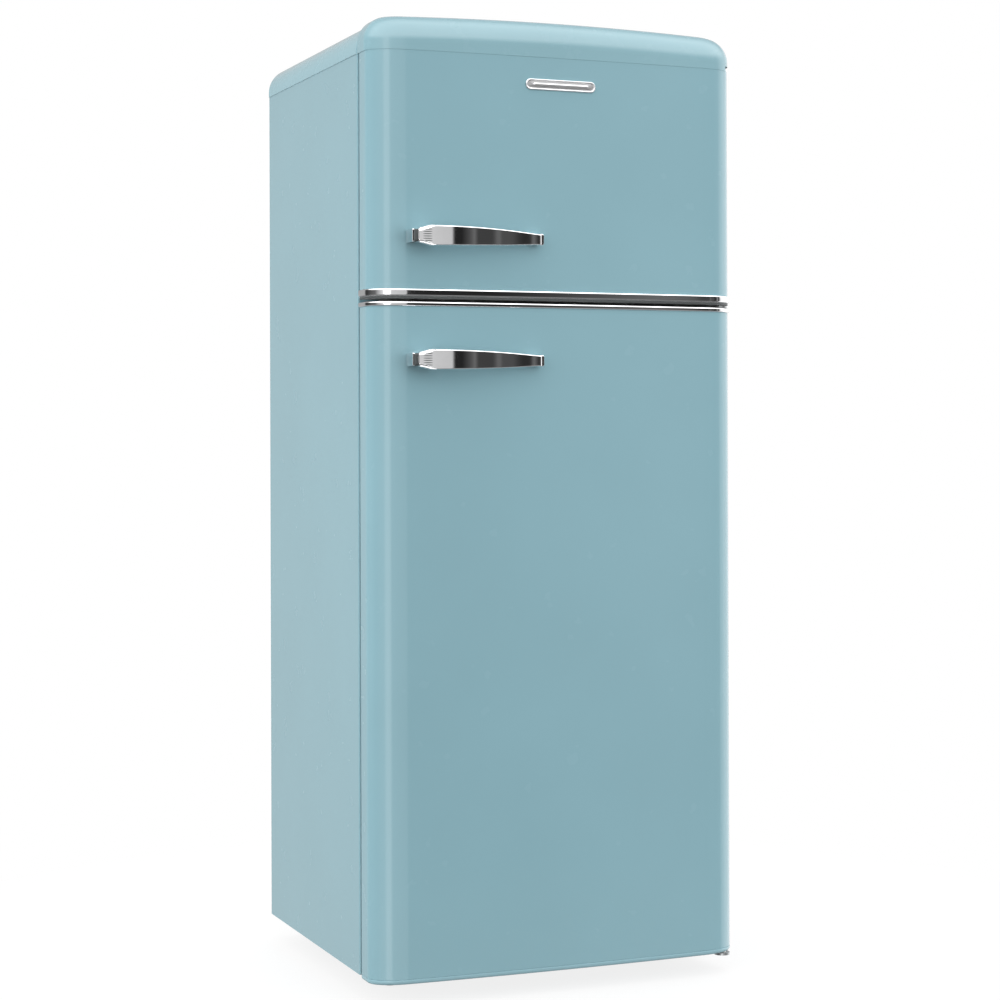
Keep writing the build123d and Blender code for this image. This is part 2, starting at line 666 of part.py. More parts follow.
def gasket(z0, z1):
    """Magnetic seal: a flat foot, a narrower bellows neck and the soft face against the cabinet."""
    foot = frame_ring(GASKET_X - 2, GASKET_WIDTH - 4, DOOR_BACK, DOOR_BACK + 2.5, z0 + 2, z1 - 2)
    neck = frame_ring(GASKET_X - 4, GASKET_WIDTH - 8, DOOR_BACK, GASKET_BACK - 2, z0 + 4, z1 - 4)
    face = frame_ring(GASKET_X, GASKET_WIDTH, GASKET_BACK - 2.5, GASKET_BACK, z0, z1)
    return foot + neck + face


def door_bin(half, depth, z0, z1):
    return open_box(-half, half, DOOR_BACK + 0.5, DOOR_BACK + depth, z0, z1, 2.5)


def handle(level):
    """Cast bar on two feet: a fluted barrel at the left and a strap that tapers to the right."""
    left, right = HANDLE_LEFT, HANDLE_RIGHT
    outline = [
        Line((left + 6, -258), (left + 6, -287)),
        Spline((left + 6, -287), (left + 34, -303), (left + 80, -DEPTH_HALF), tangents=[(0.6, -1), (1, 0)]),
        Spline((left + 80, -DEPTH_HALF), (right - 50, -291), (right, -268), tangents=[(1, 0), (1, 0.35)]),
        Line((right, -268), (right, -258)),
        Line((right, -258), (right - 22, -258)),
        Line((right - 22, -258), (right - 22, -269)),
        Spline((right - 22, -269), (right - 60, -287), (left + 86, -299.5), tangents=[(-1, -0.2), (-1, 0)]),
        Spline((left + 86, -299.5), (left + 50, -294), (left + 40, -280), tangents=[(-1, 0), (-0.1, 1)]),
        Line((left + 40, -280), (left + 40, -258)),
        Line((left + 40, -258), (left + 6, -258)),
    ]
    bar = extrude(Pos(0, 0, level - 20) * make_face(outline), 40, dir=(0, 0, 1))
    core = Pos(0, FLUTE_DEPTH, 0) * bar
    for k in range(FLUTES):
        z = level + FLUTE_PITCH * (k - (FLUTES - 1) / 2) - FLUTE_WIDTH / 2
        bar = bar - (block(left + 14, left + 27, -DEPTH_HALF, -285, z, z + FLUTE_WIDTH) - core)
    front = [
        Line((left - 1, level - 10), (left - 1, level + 10)),
        Line((left - 1, level + 10), (left + 8, level + 12)),
        Line((left + 8, level + 12), (left + 20, level + 16)),
        Spline((left + 20, level + 16), (left + 90, level + 14.5), (right + 1, level + 7)),
        Line((right + 1, level + 7), (right + 1, level - 7)),
        Spline((right + 1, level - 7), (left + 90, level - 15), (left + 20, level - 16)),
        Line((left + 20, level - 16), (left + 8, level - 12)),
        Line((left + 8, level - 12), (left - 1, level - 10)),
    ]
    bar = bar & extrude(Pos(0, -250, 0) * (Plane.XZ * make_face(front)), 70, dir=(0, -1, 0))
    end_plate = block(left, left + 4, -291, -262, level - 10, level + 10)
    barrel = rod_x(left + 2, left + 8, -277, level, 8)
    return fused([bar, barrel, end_plate]) - door_slab(0, level - 60, level + 60)


def badge():
    plate = block(-56, 56, DOOR_FRONT - 2.6, DOOR_FRONT + 4, BADGE_Z - 8, BADGE_Z + 8)
    plate = fillet(plate.edges().filter_by(Axis.Y), 7.5)
    bar = block(-44, 44, DOOR_FRONT - 3.8, DOOR_FRONT, BADGE_Z - 2, BADGE_Z + 2)
    bar = fillet(bar.edges().filter_by(Axis.Y), 1.8)
    return plate + bar - door_slab(0, BADGE_Z - 20, BADGE_Z + 20)


# ---------------------------------------------------------------- the assembly
left_panel, right_panel = both_sides(side_panel())[::-1]
parts["side_panel_left"] = left_panel
parts["side_panel_right"] = right_panel
parts["top_cover"] = top_cover()
parts["back_panel"] = back_panel()
parts["base_frame"] = base_frame()
parts["middle_rail"] = middle_rail()
parts["insulation_foam"] = insulation_foam()
parts["fridge_liner"] = fridge_liner()
parts["freezer_liner"] = freezer_liner()
parts["top_hinge"] = top_hinge()
parts["middle_hinge"] = middle_hinge()
parts["bottom_hinge"] = bottom_hinge()
parts["hinge_screws"] = hinge_screws()
parts["compressor"] = compressor()
parts["compressor_grommets"] = compressor_grommets()
parts["drip_tray"] = drip_tray()
parts["condenser"] = condenser()
parts["refrigerant_tubes"] = refrigerant_tubes()
parts["power_inlet"] = power_inlet()
parts["wall_spacers"] = wall_spacers()
parts["evaporator"] = evaporator()
parts["freezer_shelf"] = freezer_shelf()
for name, level in SHELF_LEVELS.items():
    parts[f"glass_shelf_{name}"] = glass_shelf(level)
parts["crisper_cover"] = glass_shelf(CRISPER_COVER_Z)
parts["lamp_housing"] = lamp_housing()
parts["lamp_lens"] = lamp_lens()
parts["lamp"] = lamp()
parts["thermostat_knob"] = thermostat_knob()
parts["light_switch_plunger"] = light_switch_plunger()
parts["crisper_drawer"] = crisper_drawer()
for name, side in (("left", -1), ("right", 1)):
    parts[f"roller_{name}"] = roller(side)
    parts[f"levelling_foot_{name}"] = levelling_foot(side)

freezer_dike = (FREEZER_HALF - 13, FREEZER_FLOOR + 11, FREEZER_CEILING - 11)
parts["freezer_door_skin"] = door_skin(SKIN_BOTTOM, LID_BOTTOM)
parts["freezer_door_cap"] = freezer_door_cap()
parts["freezer_door_top_plate"] = freezer_top_cap_plate()
parts["freezer_door_bottom_cap"] = freezer_bottom_cap()
parts["freezer_door_trim"] = trim_strip(SKIN_BOTTOM - UPPER_TRIM, SKIN_BOTTOM)
parts["freezer_door_liner"] = door_liner(*freezer_dike, SKIN_BOTTOM, LID_BOTTOM - 8)
parts["freezer_door_foam"] = (
    door_foam(*freezer_dike, SKIN_BOTTOM, LID_BOTTOM - 8)
    - boss(SKIN_BOTTOM, SKIN_BOTTOM + 10)
    - boss(LID_BOTTOM - 24, LID_BOTTOM - 8)
)
parts["freezer_door_gasket"] = gasket(1034, 1372)
parts["freezer_door_bushes"] = [
    bush(FREEZER_DOOR_BOTTOM + 0.8, SKIN_BOTTOM + 10),
    bush(LID_BOTTOM - 24, CAP_BOTTOM),
]
parts["freezer_door_bin_lower"] = door_bin(FREEZER_HALF - 43, 80, 1090, 1150)
parts["freezer_door_bin_upper"] = door_bin(FREEZER_HALF - 43, 80, 1210, 1262)
parts["freezer_handle"] = handle(HANDLE_LEVELS["freezer"])
parts["badge"] = badge()

fridge_dike = (FRIDGE_HALF - 13, FRIDGE_FLOOR + 12, FRIDGE_CEILING - 12)
parts["fridge_door_skin"] = door_skin(LOWER_SKIN_BOTTOM, LOWER_SKIN_TOP)
parts["fridge_door_top_cap"] = fridge_top_cap()
parts["fridge_door_bottom_cap"] = fridge_bottom_cap()
parts["fridge_door_trim"] = trim_strip(LOWER_SKIN_TOP, FRIDGE_DOOR_TOP)
parts["fridge_door_liner"] = door_liner(*fridge_dike, LOWER_SKIN_BOTTOM + 7, LOWER_SKIN_TOP - 7)
parts["fridge_door_foam"] = (
    door_foam(*fridge_dike, LOWER_SKIN_BOTTOM + 7, LOWER_SKIN_TOP - 7)
    - boss(LOWER_SKIN_BOTTOM + 7, LOWER_SKIN_BOTTOM + 16)
    - boss(LOWER_SKIN_TOP - 14, LOWER_SKIN_TOP - 7)
)
parts["fridge_door_gasket"] = gasket(66, 1008)
parts["fridge_door_bushes"] = [
    bush(28.3, LOWER_SKIN_BOTTOM + 16),
    bush(LOWER_SKIN_TOP - 14, FRIDGE_DOOR_TOP - 1.4),
]
parts["fridge_door_bin_upper"] = door_bin(FRIDGE_HALF - 43, 98, 790, 860)
parts["fridge_door_bin_lower"] = door_bin(FRIDGE_HALF - 43, 98, 520, 590)
parts["fridge_door_bottle_rack"] = door_bin(FRIDGE_HALF - 43, 92, 150, 260)
parts["fridge_handle"] = handle(HANDLE_LEVELS["fridge"])

os.makedirs("parts", exist_ok=True)
for name, shape in parts.items():
    solid = Compound(children=shape) if isinstance(shape, list) else shape
    export_step(solid, f"parts/{name}.step")
print(len(parts), "sub-parts")
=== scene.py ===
import math

import bmesh
import bpy
from mathutils import Matrix, Vector


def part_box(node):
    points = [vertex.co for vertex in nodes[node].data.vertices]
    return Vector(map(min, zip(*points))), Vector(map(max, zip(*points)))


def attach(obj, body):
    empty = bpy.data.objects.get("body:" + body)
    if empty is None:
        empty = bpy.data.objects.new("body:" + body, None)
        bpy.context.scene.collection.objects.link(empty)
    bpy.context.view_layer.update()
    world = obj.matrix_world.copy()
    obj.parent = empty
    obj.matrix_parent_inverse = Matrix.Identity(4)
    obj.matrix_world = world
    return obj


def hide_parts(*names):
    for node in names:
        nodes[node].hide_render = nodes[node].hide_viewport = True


# Looks for a pastel turquoise retro top-freezer refrigerator. Metres, doors facing -Y, floor at z = 0.
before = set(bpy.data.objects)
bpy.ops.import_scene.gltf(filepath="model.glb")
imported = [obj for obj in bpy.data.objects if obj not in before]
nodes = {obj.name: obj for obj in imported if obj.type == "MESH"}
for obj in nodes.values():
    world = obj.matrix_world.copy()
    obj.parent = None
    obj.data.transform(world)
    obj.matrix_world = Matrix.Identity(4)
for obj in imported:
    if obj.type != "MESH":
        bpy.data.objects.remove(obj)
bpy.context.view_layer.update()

MM = 0.001
HALF = 294 * MM  # half the width of the doors and the cabinet
DOOR_BACK = -204 * MM
DOOR_FRONT = -266 * MM
DOOR_BOW = 5 * MM  # how far a door's front bulges across its width
CORNER_X = 54 * MM  # a door's front corner, measured across and in depth
CORNER_Y = 33 * MM
PROUD = 1.5 * MM  # the freezer door's cap stands out from its skin by this much
CAP_CROWN = 4.6 * MM
HINGE = (280, -234, 0)  # the doors' pins, in millimetres


# ---------------- materials
class Graph:
    """A node tree: adds nodes and feeds their sockets with links or plain values."""

    def __init__(self, tree):
        self.tree = tree

    def feed(self, socket, value):
        if isinstance(value, bpy.types.NodeSocket):
            self.tree.links.new(value, socket)
        else:
            socket.default_value = value

    def add(self, kind, settings=None, **inputs):
        node = self.tree.nodes.new("ShaderNode" + kind)
        for key, value in (settings or {}).items():
            setattr(node, key, value)
        for key, value in inputs.items():
            self.feed(node.inputs[key.replace("_", " ")], value)
        return node

    def math(self, operation, *values):
        node = self.add("Math", {"operation": operation})
        for socket, value in zip(node.inputs, values):
            self.feed(socket, value)
        return node.outputs[0]

    def ranged(self, value, low, high, start=0.3, end=0.7):
        node = self.add("MapRange", Value=value, From_Min=start, From_Max=end, To_Min=low, To_Max=high)
        return node.outputs["Result"]

    def mixed(self, factor, a, b):
        """Blend of two colours, each an output or a tuple."""
        node = self.add("Mix", {"data_type": "RGBA"})
        for socket, value in zip((node.inputs[0], node.inputs[6], node.inputs[7]), (factor, a, b)):
            self.feed(socket, (*value, 1) if isinstance(value, tuple) else value)
        return node.outputs[2]


class Shade(Graph):
    """One node material: a principled shader and the nodes that drive it."""

    def __init__(self, name, colour, rough, **sockets):
        self.material = bpy.data.materials.new(name)
        self.material.use_nodes = True
        super().__init__(self.material.node_tree)
        self.bsdf = self.tree.nodes["Principled BSDF"]
        self.point = self.add("TexCoord").outputs["Object"]
        self.colour = colour
        self.rough = rough
        self.material.diffuse_color = (*colour, 1)
        self.bsdf.inputs["Base Color"].default_value = (*colour, 1)
        self.bsdf.inputs["Roughness"].default_value = rough
        for socket, value in sockets.items():
            self.bsdf.inputs[socket.replace("_", " ")].default_value = value

    def link(self, output, socket):
        self.feed(self.bsdf.inputs[socket], output)

    def stretched(self, scale):
        return self.add("Mapping", Vector=self.point, Scale=scale).outputs["Vector"]

    def noise(self, scale, detail=3.0, point=None):
        node = self.add("TexNoise", Vector=point or self.point, Scale=scale, Detail=detail)
        return node.outputs["Fac"]

    def cells(self, scale, output="Distance"):
        return self.add("TexVoronoi", Vector=self.point, Scale=scale).outputs[output]

    def tinted(self, factor, spread):
        """Colour that runs between a darker and a lighter version of the base colour."""
        dark = tuple(c * (1 - spread) for c in self.colour)
        light = tuple(min(1.0, c * (1 + spread)) for c in self.colour)
        return self.mixed(factor, dark, light)

    def vary(self, scale, spread, rough_spread, rough_scale=None):
        """Slow drift of colour and gloss over the surface."""
        colour = self.tinted(self.ranged(self.noise(scale), 0, 1), spread)
        self.link(colour, "Base Color")
        gloss = self.noise(rough_scale or scale * 3, 5.0)
        self.link(self.ranged(gloss, self.rough - rough_spread, self.rough + rough_spread), "Roughness")
        return colour

    def bump(self, height, depth):
        normal = self.add("Bump", Height=height, Distance=depth, Strength=1.0).outputs["Normal"]
        self.link(normal, "Normal")
        if self.bsdf.inputs["Coat Weight"].default_value > 0:
            self.link(normal, "Coat Normal")


def enamel(name, colour, rough=0.26, coat=0.9, peel=0.000006):
    """Sprayed gloss paint: faint orange peel, slow colour drift and dust near the floor."""
    shade = Shade(name, colour, rough, Coat_Weight=coat, Coat_Roughness=0.03, Specular_IOR_Level=0.12)
    colour = shade.vary(5.0, 0.018, 0.04, 30.0)
    height = shade.add("SeparateXYZ", Vector=shade.point).outputs["Z"]
    dust = shade.math("MULTIPLY", shade.ranged(height, 0.10, 0.0, 0.03, 0.20), shade.noise(45, 6.0))
    shade.link(shade.mixed(dust, colour, (0.34, 0.40, 0.40)), "Base Color")
    shade.bump(shade.noise(420, 1.0), peel)
    return shade.material


def plastic(name, colour, rough, depth=0.00002, spread=0.04):
    """Moulded plastic with a fine spark-eroded grain."""
    shade = Shade(name, colour, rough)
    shade.vary(22.0, spread, 0.05)
    shade.bump(shade.noise(900.0, 2.0), depth)
    return shade.material


def chrome(name):
    """Bright plating with hairline polishing marks."""
    shade = Shade(name, (0.86, 0.86, 0.87), 0.055, Metallic=1.0)
    shade.vary(60.0, 0.02, 0.02, 400.0)
    shade.bump(shade.noise(260, 8.0, shade.stretched((0.4, 6, 6))), 0.000004)
    return shade.material


def galvanised(name):
    """Zinc coat with crystals that differ in tone and gloss."""
    shade = Shade(name, (0.52, 0.54, 0.55), 0.38, Metallic=0.9)
    crystals = shade.cells(150, "Color")
    grey = shade.add("SeparateXYZ", Vector=crystals).outputs["X"]
    shade.link(shade.tinted(grey, 0.10), "Base Color")
    shade.link(shade.ranged(grey, 0.28, 0.5, 0, 1), "Roughness")
    shade.bump(grey, 0.00002)
    return shade.material


def painted_steel(name, colour, rough):
    """Baked paint, worn towards grey along its edges."""
    shade = Shade(name, colour, rough, IOR=1.5)
    colour = shade.vary(30.0, 0.08, 0.06)
    edges = shade.ranged(shade.add("NewGeometry").outputs["Pointiness"], 0, 0.35, 0.52, 0.60)
    worn = shade.math("MULTIPLY", edges, shade.noise(90, 4.0))
    shade.link(shade.mixed(worn, colour, (0.30, 0.28, 0.26)), "Base Color")
    shade.bump(shade.noise(700, 2.0), 0.00003)
    return shade.material


def rubber(name, colour):
    """Matt rubber with a dusty bloom."""
    shade = Shade(name, colour, 0.62, Sheen_Weight=0.15, Sheen_Roughness=0.5)
    shade.vary(60.0, 0.10, 0.08)
    shade.bump(shade.noise(1200, 4.0), 0.00004)
    return shade.material


def metal(name, colour, rough, stretch, depth=0.00001, spread=0.06):
    """Bare metal with a grain drawn out along one direction."""
    shade = Shade(name, colour, rough, Metallic=1.0)
    brushed = shade.noise(180, 6.0, shade.stretched(stretch))
    shade.link(shade.tinted(brushed, spread), "Base Color")
    shade.link(shade.ranged(brushed, rough - 0.08, rough + 0.08), "Roughness")
    shade.bump(brushed, depth)
    return shade.material


def foam(name):
    """Rigid yellow foam with coarse bubbles."""
    shade = Shade(name, (0.74, 0.62, 0.36), 0.9)
    shade.link(shade.tinted(shade.noise(40, 6.0), 0.16), "Base Color")
    shade.bump(shade.cells(420), 0.0012)
    return shade.material


def clear(name, colour, rough, grain):
    """Glass or clear plastic, faintly tinted and uneven."""
    shade = Shade(name, colour, rough, Transmission_Weight=0.96, IOR=1.49)
    shade.link(shade.tinted(shade.ranged(shade.noise(14), 0, 1), 0.02), "Base Color")
    shade.link(shade.ranged(shade.noise(60, 5.0), rough, rough + 0.05), "Roughness")
    shade.bump(shade.noise(grain, 2.0), 0.00001)
    return shade.material


looks = {
    "turquoise_steel": enamel("turquoise_steel_paint", (0.236, 0.403, 0.458), 0.24, 1.0, peel=0.000004),
    "turquoise_plastic": enamel("turquoise_moulding", (0.242, 0.408, 0.460)),
    "chrome_plate": chrome("chrome_plating"),
    "dark_grey_plastic": plastic("dark_grey_moulding", (0.062, 0.070, 0.072), 0.42),
    "white_plastic": plastic("white_moulding", (0.80, 0.81, 0.80), 0.28, depth=0.000003, spread=0.012),
    "clear_plastic": clear("clear_moulding", (0.93, 0.96, 0.97), 0.06, grain=300.0),
    "shelf_glass": clear("tempered_glass", (0.86, 0.95, 0.92), 0.01, grain=60.0),
    "galvanised_steel": galvanised("zinc_plated_steel"),
    "white_steel": painted_steel("white_epoxy_wire", (0.80, 0.81, 0.80), 0.35),
    "black_steel": painted_steel("black_stove_enamel", (0.018, 0.018, 0.019), 0.34),
    "grey_rubber": rubber("grey_magnetic_seal", (0.30, 0.32, 0.32)),
    "black_rubber": rubber("black_rubber_mount", (0.022, 0.022, 0.023)),
    "foam": foam("rigid_insulation"),
    "aluminium_plate": metal("rolled_aluminium", (0.80, 0.81, 0.82), 0.33, stretch=(1, 12, 12)),
    "copper_tube": metal("drawn_copper", (0.86, 0.44, 0.27), 0.26, stretch=(9, 9, 0.6), spread=0.14),
    "lamp_glass": clear("lamp_glass_bulb", (0.97, 0.96, 0.92), 0.03, grain=200.0),
}
for node in nodes.values():
    for held in node.material_slots:
        held.material = looks[held.material.name.split(".")[0]]


# ---------------- mesh helpers
def at(x, y, z):
    """A point given in millimetres."""
    return Vector((x, y, z)) * MM


def placed(name, data):
    """A new object in the scene that holds some data."""
    made = bpy.data.objects.new(name, data)
    bpy.context.scene.collection.objects.link(made)
    return made


def dress(made, body, slot, stands_for, look=None):
    """Puts an object on a CAD body, in a slot's finish, in place of the CAD node it stands for."""
    made.data.materials.append(look or looks[slot])
    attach(made, body)
    if stands_for:
        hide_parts(stands_for)


def piece(name, shape, body, slot, stands_for="", look=None, angle=38, flip_if_down=False):
    """Turns a bmesh into an object that rides on a CAD body."""
    bmesh.ops.recalc_face_normals(shape, faces=shape.faces)
    if flip_if_down and max(shape.faces, key=lambda f: f.calc_center_median().z).normal.z < 0:
        bmesh.ops.reverse_faces(shape, faces=shape.faces)
    mesh = bpy.data.meshes.new(name)
    shape.to_mesh(mesh)
    shape.free()
    mesh.polygons.foreach_set("use_smooth", [True] * len(mesh.polygons))
    mesh.set_sharp_from_angle(angle=math.radians(angle))
    made = placed(name, mesh)
    even = made.modifiers.new("even_normals", "WEIGHTED_NORMAL")
    even.keep_sharp = True
    even.weight = 60
    dress(made, body, slot, stands_for, look)
    return made


def loft(shape, rings, closed=True, caps=True):
    """Quads between rings of points, joined round when closed and filled at both ends with caps."""
    rows = [[shape.verts.new(point) for point in ring] for ring in rings]
    count = len(rows[0])
    for low, high in zip(rows, rows[1:]):
        for i in range(count if closed else count - 1):
            j = (i + 1) % count
            shape.faces.new((low[i], low[j], high[j], high[i]))
    if caps:
        shape.faces.new(rows[0])
        shape.faces.new(rows[-1])
    return rows


def arc(cx, cy, radius, start, end, steps=5):
    """Points along a circle's arc, with angles in degrees."""
    turns = (math.radians(start + (end - start) * i / steps) for i in range(steps + 1))
    return [(cx + radius * math.cos(a), cy + radius * math.sin(a)) for a in turns]


def rounded(width, height, radius, steps=5):
    """Points of a rounded rectangle about the origin."""
    radius = min(radius, width / 2 - 1e-6, height / 2 - 1e-6)
    points = []
    for turn, sx, sy in ((0, 1, 1), (90, -1, 1), (180, -1, -1), (270, 1, -1)):
        centre = sx * (width / 2 - radius), sy * (height / 2 - radius)
        points += arc(*centre, radius, turn, turn + 90, steps)
    return points


def upright(y, middle, width, height, radius, steps=8):
    """A rounded rectangle that stands at y, centred on the level middle."""
    return [Vector((u, y, middle + v)) for u, v in rounded(width, height, radius, steps)]


AXES = {
    "x": lambda u, v, w: Vector((w, u, v)),
    "y": lambda u, v, w: Vector((u, w, v)),
    "z": lambda u, v, w: Vector((u, v, w)),
}


def slab(shape, lo, hi, radius, axis="z", edge=0.8 * MM, steps=5):
    """A rounded-corner slab between two corners, extruded along axis, with eased edges."""
    place = AXES[axis]
    order = {"x": (1, 2, 0), "y": (0, 2, 1), "z": (0, 1, 2)}[axis]
    u0, v0, w0 = (lo[i] for i in order)
    u1, v1, w1 = (hi[i] for i in order)
    rings = []
    for w, inset in ((w0, edge), (w0 + 0.3 * edge, 0.3 * edge), (w0 + edge, 0), (w1 - edge, 0),
                     (w1 - 0.3 * edge, 0.3 * edge), (w1, edge)):
        outline = rounded(u1 - u0 - 2 * inset, v1 - v0 - 2 * inset, max(radius - inset, 0.2 * MM), steps)
        rings.append([place(u + (u0 + u1) / 2, v + (v0 + v1) / 2, w) for u, v in outline])
    return loft(shape, rings)


def block(shape, lo, hi, radius, axis, edge, steps=5):
    """The same slab with every size in millimetres."""
    slab(shape, at(*lo), at(*hi), radius * MM, axis, edge * MM, steps)


def lathe(shape, profile, centre, axis="z", steps=40, caps=True):
    """A turned shape in millimetres: profile is a list of (radius, distance along axis)."""
    place = AXES[axis]
    origin = at(*centre)
    rings = []
    for radius, w in profile:
        turns = (math.tau * i / steps for i in range(steps))
        rings.append([origin + place(radius * math.cos(a), radius * math.sin(a), w) * MM for a in turns])
    return loft(shape, rings, True, caps)


def pipe(name, runs, radius, stands_for="", order=3):
    """Black steel tubes or wires along lists of points, as one bevelled curve on the cabinet."""
    data = bpy.data.curves.new(name, "CURVE")
    data.dimensions = "3D"
    data.bevel_depth = radius
    data.bevel_resolution = 4
    data.resolution_u = 8
    data.use_fill_caps = True
    for points in runs:
        spline = data.splines.new("NURBS" if order > 2 else "POLY")
        spline.points.add(len(points) - 1)
        for held, point in zip(spline.points, points):
            held.co = (*point, 1)
        if order > 2:
            spline.order_u = order
            spline.use_endpoint_u = True
    dress(placed(name, data), "cabinet", "black_steel", stands_for)


def bored(made, centre, radius, z0, z1):
    """Drills an upright hole through a closed piece, with sizes in millimetres."""
    cutter = bmesh.new()
    lathe(cutter, [(radius, z0), (radius, z1)], centre, steps=32)
    bmesh.ops.recalc_face_normals(cutter, faces=cutter.faces)
    mesh = bpy.data.meshes.new("cutter")
    cutter.to_mesh(mesh)
    cutter.free()
    tool = placed("cutter", mesh)
    cut = made.modifiers.new("hole", "BOOLEAN")
    cut.object = tool
    cut.solver = "EXACT"
    made.modifiers["even_normals"].show_viewport = False
    graph = bpy.context.evaluated_depsgraph_get()
    done = bpy.data.meshes.new_from_object(made.evaluated_get(graph))
    made.modifiers.remove(cut)
    made.modifiers["even_normals"].show_viewport = True
    made.data = done
    bpy.data.objects.remove(tool)


def notch(shape, lo, hi):
    """Opens a box-shaped notch in a shell."""
    for axis, corner in ((0, lo), (0, hi), (1, lo), (1, hi), (2, lo), (2, hi)):
        normal = Vector(float(i == axis) for i in range(3))
        geometry = shape.verts[:] + shape.edges[:] + shape.faces[:]
        bmesh.ops.bisect_plane(shape, geom=geometry, plane_co=corner, plane_no=normal, dist=1e-6)
    held = [f for f in shape.faces if all(a < c < b for a, c, b in zip(lo, f.calc_center_median(), hi))]
    bmesh.ops.delete(shape, geom=held, context="FACES")


def smooth(start, end, value):
    """Eased step from 0 at start to 1 at end."""
    share = min(1.0, max(0.0, (value - start) / (end - start)))
    return share * share * (3 - 2 * share)


def along(knots, x):
    """Smooth curve through (x, value) knots, by cubic steps with matched slopes."""
    slopes = []
    for i in range(len(knots)):
        before, after = knots[max(i - 1, 0)], knots[min(i + 1, len(knots) - 1)]
        slopes.append((after[1] - before[1]) / (after[0] - before[0]))
    for (x0, v0), (x1, v1), m0, m1 in zip(knots, knots[1:], slopes, slopes[1:]):
        if x <= x1 or x1 == knots[-1][0]:
            h = x1 - x0
            t = (x - x0) / h
            return ((2 * t**3 - 3 * t**2 + 1) * v0 + (t**3 - 2 * t**2 + t) * h * m0
                    + (3 * t**2 - 2 * t**3) * v1 + (t**3 - t**2) * h * m1)


def sag(x, run, bow):
    """How far a shallow arc has dropped at x, when it drops by bow at run."""
    radius = (run * run + bow * bow) / (2 * bow)
    return radius - math.sqrt(radius * radius - x * x)


def bowed(half, base, crest, bow, corner_u, corner_v, steps=12):
    """Outline with flat sides, elliptical corners and a bowed far edge, from base left to base right."""
    side = 1 if crest > base else -1
    turn = 0.5523
    edge = crest - side * bow
    run = half - corner_u
    slope = math.tan(2 * math.atan(bow / run))
    knee = [
        (-half, edge - side * corner_v),
        (-half, edge - side * corner_v * (1 - turn)),
        (-run - turn * corner_u, edge - side * turn * corner_u * slope),
        (-run, edge),
    ]
    left = [(-half, base)]
    for i in range(steps):
        t = i / steps
        weights = ((1 - t) ** 3, 3 * t * (1 - t) ** 2, 3 * t * t * (1 - t), t**3)
        left.append(tuple(sum(w * p[k] for w, p in zip(weights, knee)) for k in (0, 1)))
    middle = []
    for i in range(2 * steps + 1):
        u = -run + run * i / steps
        middle.append((u, crest - side * sag(u, run, bow)))
    return left + middle + [(-u, v) for u, v in reversed(left)]


# ---------------- doors
def door_outline(inset, back):
    """Plan of a door drawn in by inset, from its back left corner round the front to the right."""
    corner = CORNER_X - inset, CORNER_Y - inset
    return bowed(HALF - inset, back, DOOR_FRONT + inset, DOOR_BOW, *corner)


def door_ring(inset, z, hem=True):
    """Door outline at a height; the rear edges fold in behind the skin when hem is set."""
    outline = door_outline(inset, DOOR_BACK - 1.2 * MM)
    if hem:
        u = HALF - inset
        lip = (-u + 1.2 * MM, DOOR_BACK), (-u + 0.35 * MM, DOOR_BACK - 0.35 * MM)
        fold = [(-u + 9 * MM, DOOR_BACK), *lip]
        outline = fold + outline + [(-x, y) for x, y in reversed(fold)]
    return [Vector((x, y, z)) for x, y in outline]


def door_skin(door):
    """Painted sheet round a door, rolled in at its top and bottom."""
    low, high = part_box(f"{door}_skin")
    z0, z1 = low.z, high.z
    shape = bmesh.new()
    edge = [(1.0, 6.0), (1.0, 0.0), (0.35, 0.0), (0.1, 0.12), (0.0, 0.45), (0.0, 1.5)]
    section = [(inset, z0 + rise * MM) for inset, rise in edge]
    section += [(0.0, z0 + (z1 - z0) * i / 8) for i in range(1, 8)]
    section += [(inset, z1 - rise * MM) for inset, rise in reversed(edge)]
    loft(shape, [door_ring(inset * MM, z) for inset, z in section], False, False)
    piece(f"{door}_painted_skin", shape, door, "turquoise_steel", f"{door}_skin")


def strip(door, name, stands_for, z0, z1, proud, slot, ease):
    """A moulding that runs round the front and sides of a door; ease rounds its face."""
    shape = bmesh.new()
    section = [(1.0 * MM, z0)]
    count = 14
    for i in range(count + 1):
        level = -1 + 2 * i / count
        swell = (1 - abs(level) ** ease) ** (1 / ease)
        section.append((-proud * swell, (z0 + z1) / 2 + level * (z1 - z0) / 2))
    section.append((1.0 * MM, z1))
    loft(shape, [door_ring(inset, z, False) for inset, z in section], False, False)
    ends = [v for v in shape.verts if v.co.y > DOOR_BACK - 2 * MM]
    for side in (-1, 1):
        rim = [v for v in ends if v.co.x * side > 0]
        shape.faces.new(sorted(rim, key=lambda v: v.co.z))
    piece(name, shape, door, slot, stands_for)


door_skin("freezer_door")
door_skin("fridge_door")
for door, ease in (("freezer_door", 3.4), ("fridge_door", 2.6)):
    low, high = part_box(f"{door}_trim")
    strip(door, f"{door}_chrome_strip", f"{door}_trim", low.z, high.z, 2.5 * MM, "chrome_plate", ease)

# A grey lip runs below the freezer door's chrome strip. The moulding behind it is painted pale as painted
# light, so the gap between the doors reads grey instead of shaded.
low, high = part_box("freezer_door_bottom_cap")
lip_top = low.z + 3.5 * MM
strip("freezer_door", "freezer_door_grey_lip", "", low.z, lip_top, 0.35 * MM, "dark_grey_plastic", 4.0)
pale = plastic("underside_painted_gap_light", (0.72, 0.74, 0.75), 0.5)
nodes["freezer_door_bottom_cap"].material_slots[0].material = pale
# Painted light: the top plate under the dome wears the body colour, so the seam above the freezer door reads
# pale instead of shaded.
nodes["freezer_door_top_plate"].material_slots[0].material = looks["turquoise_plastic"]


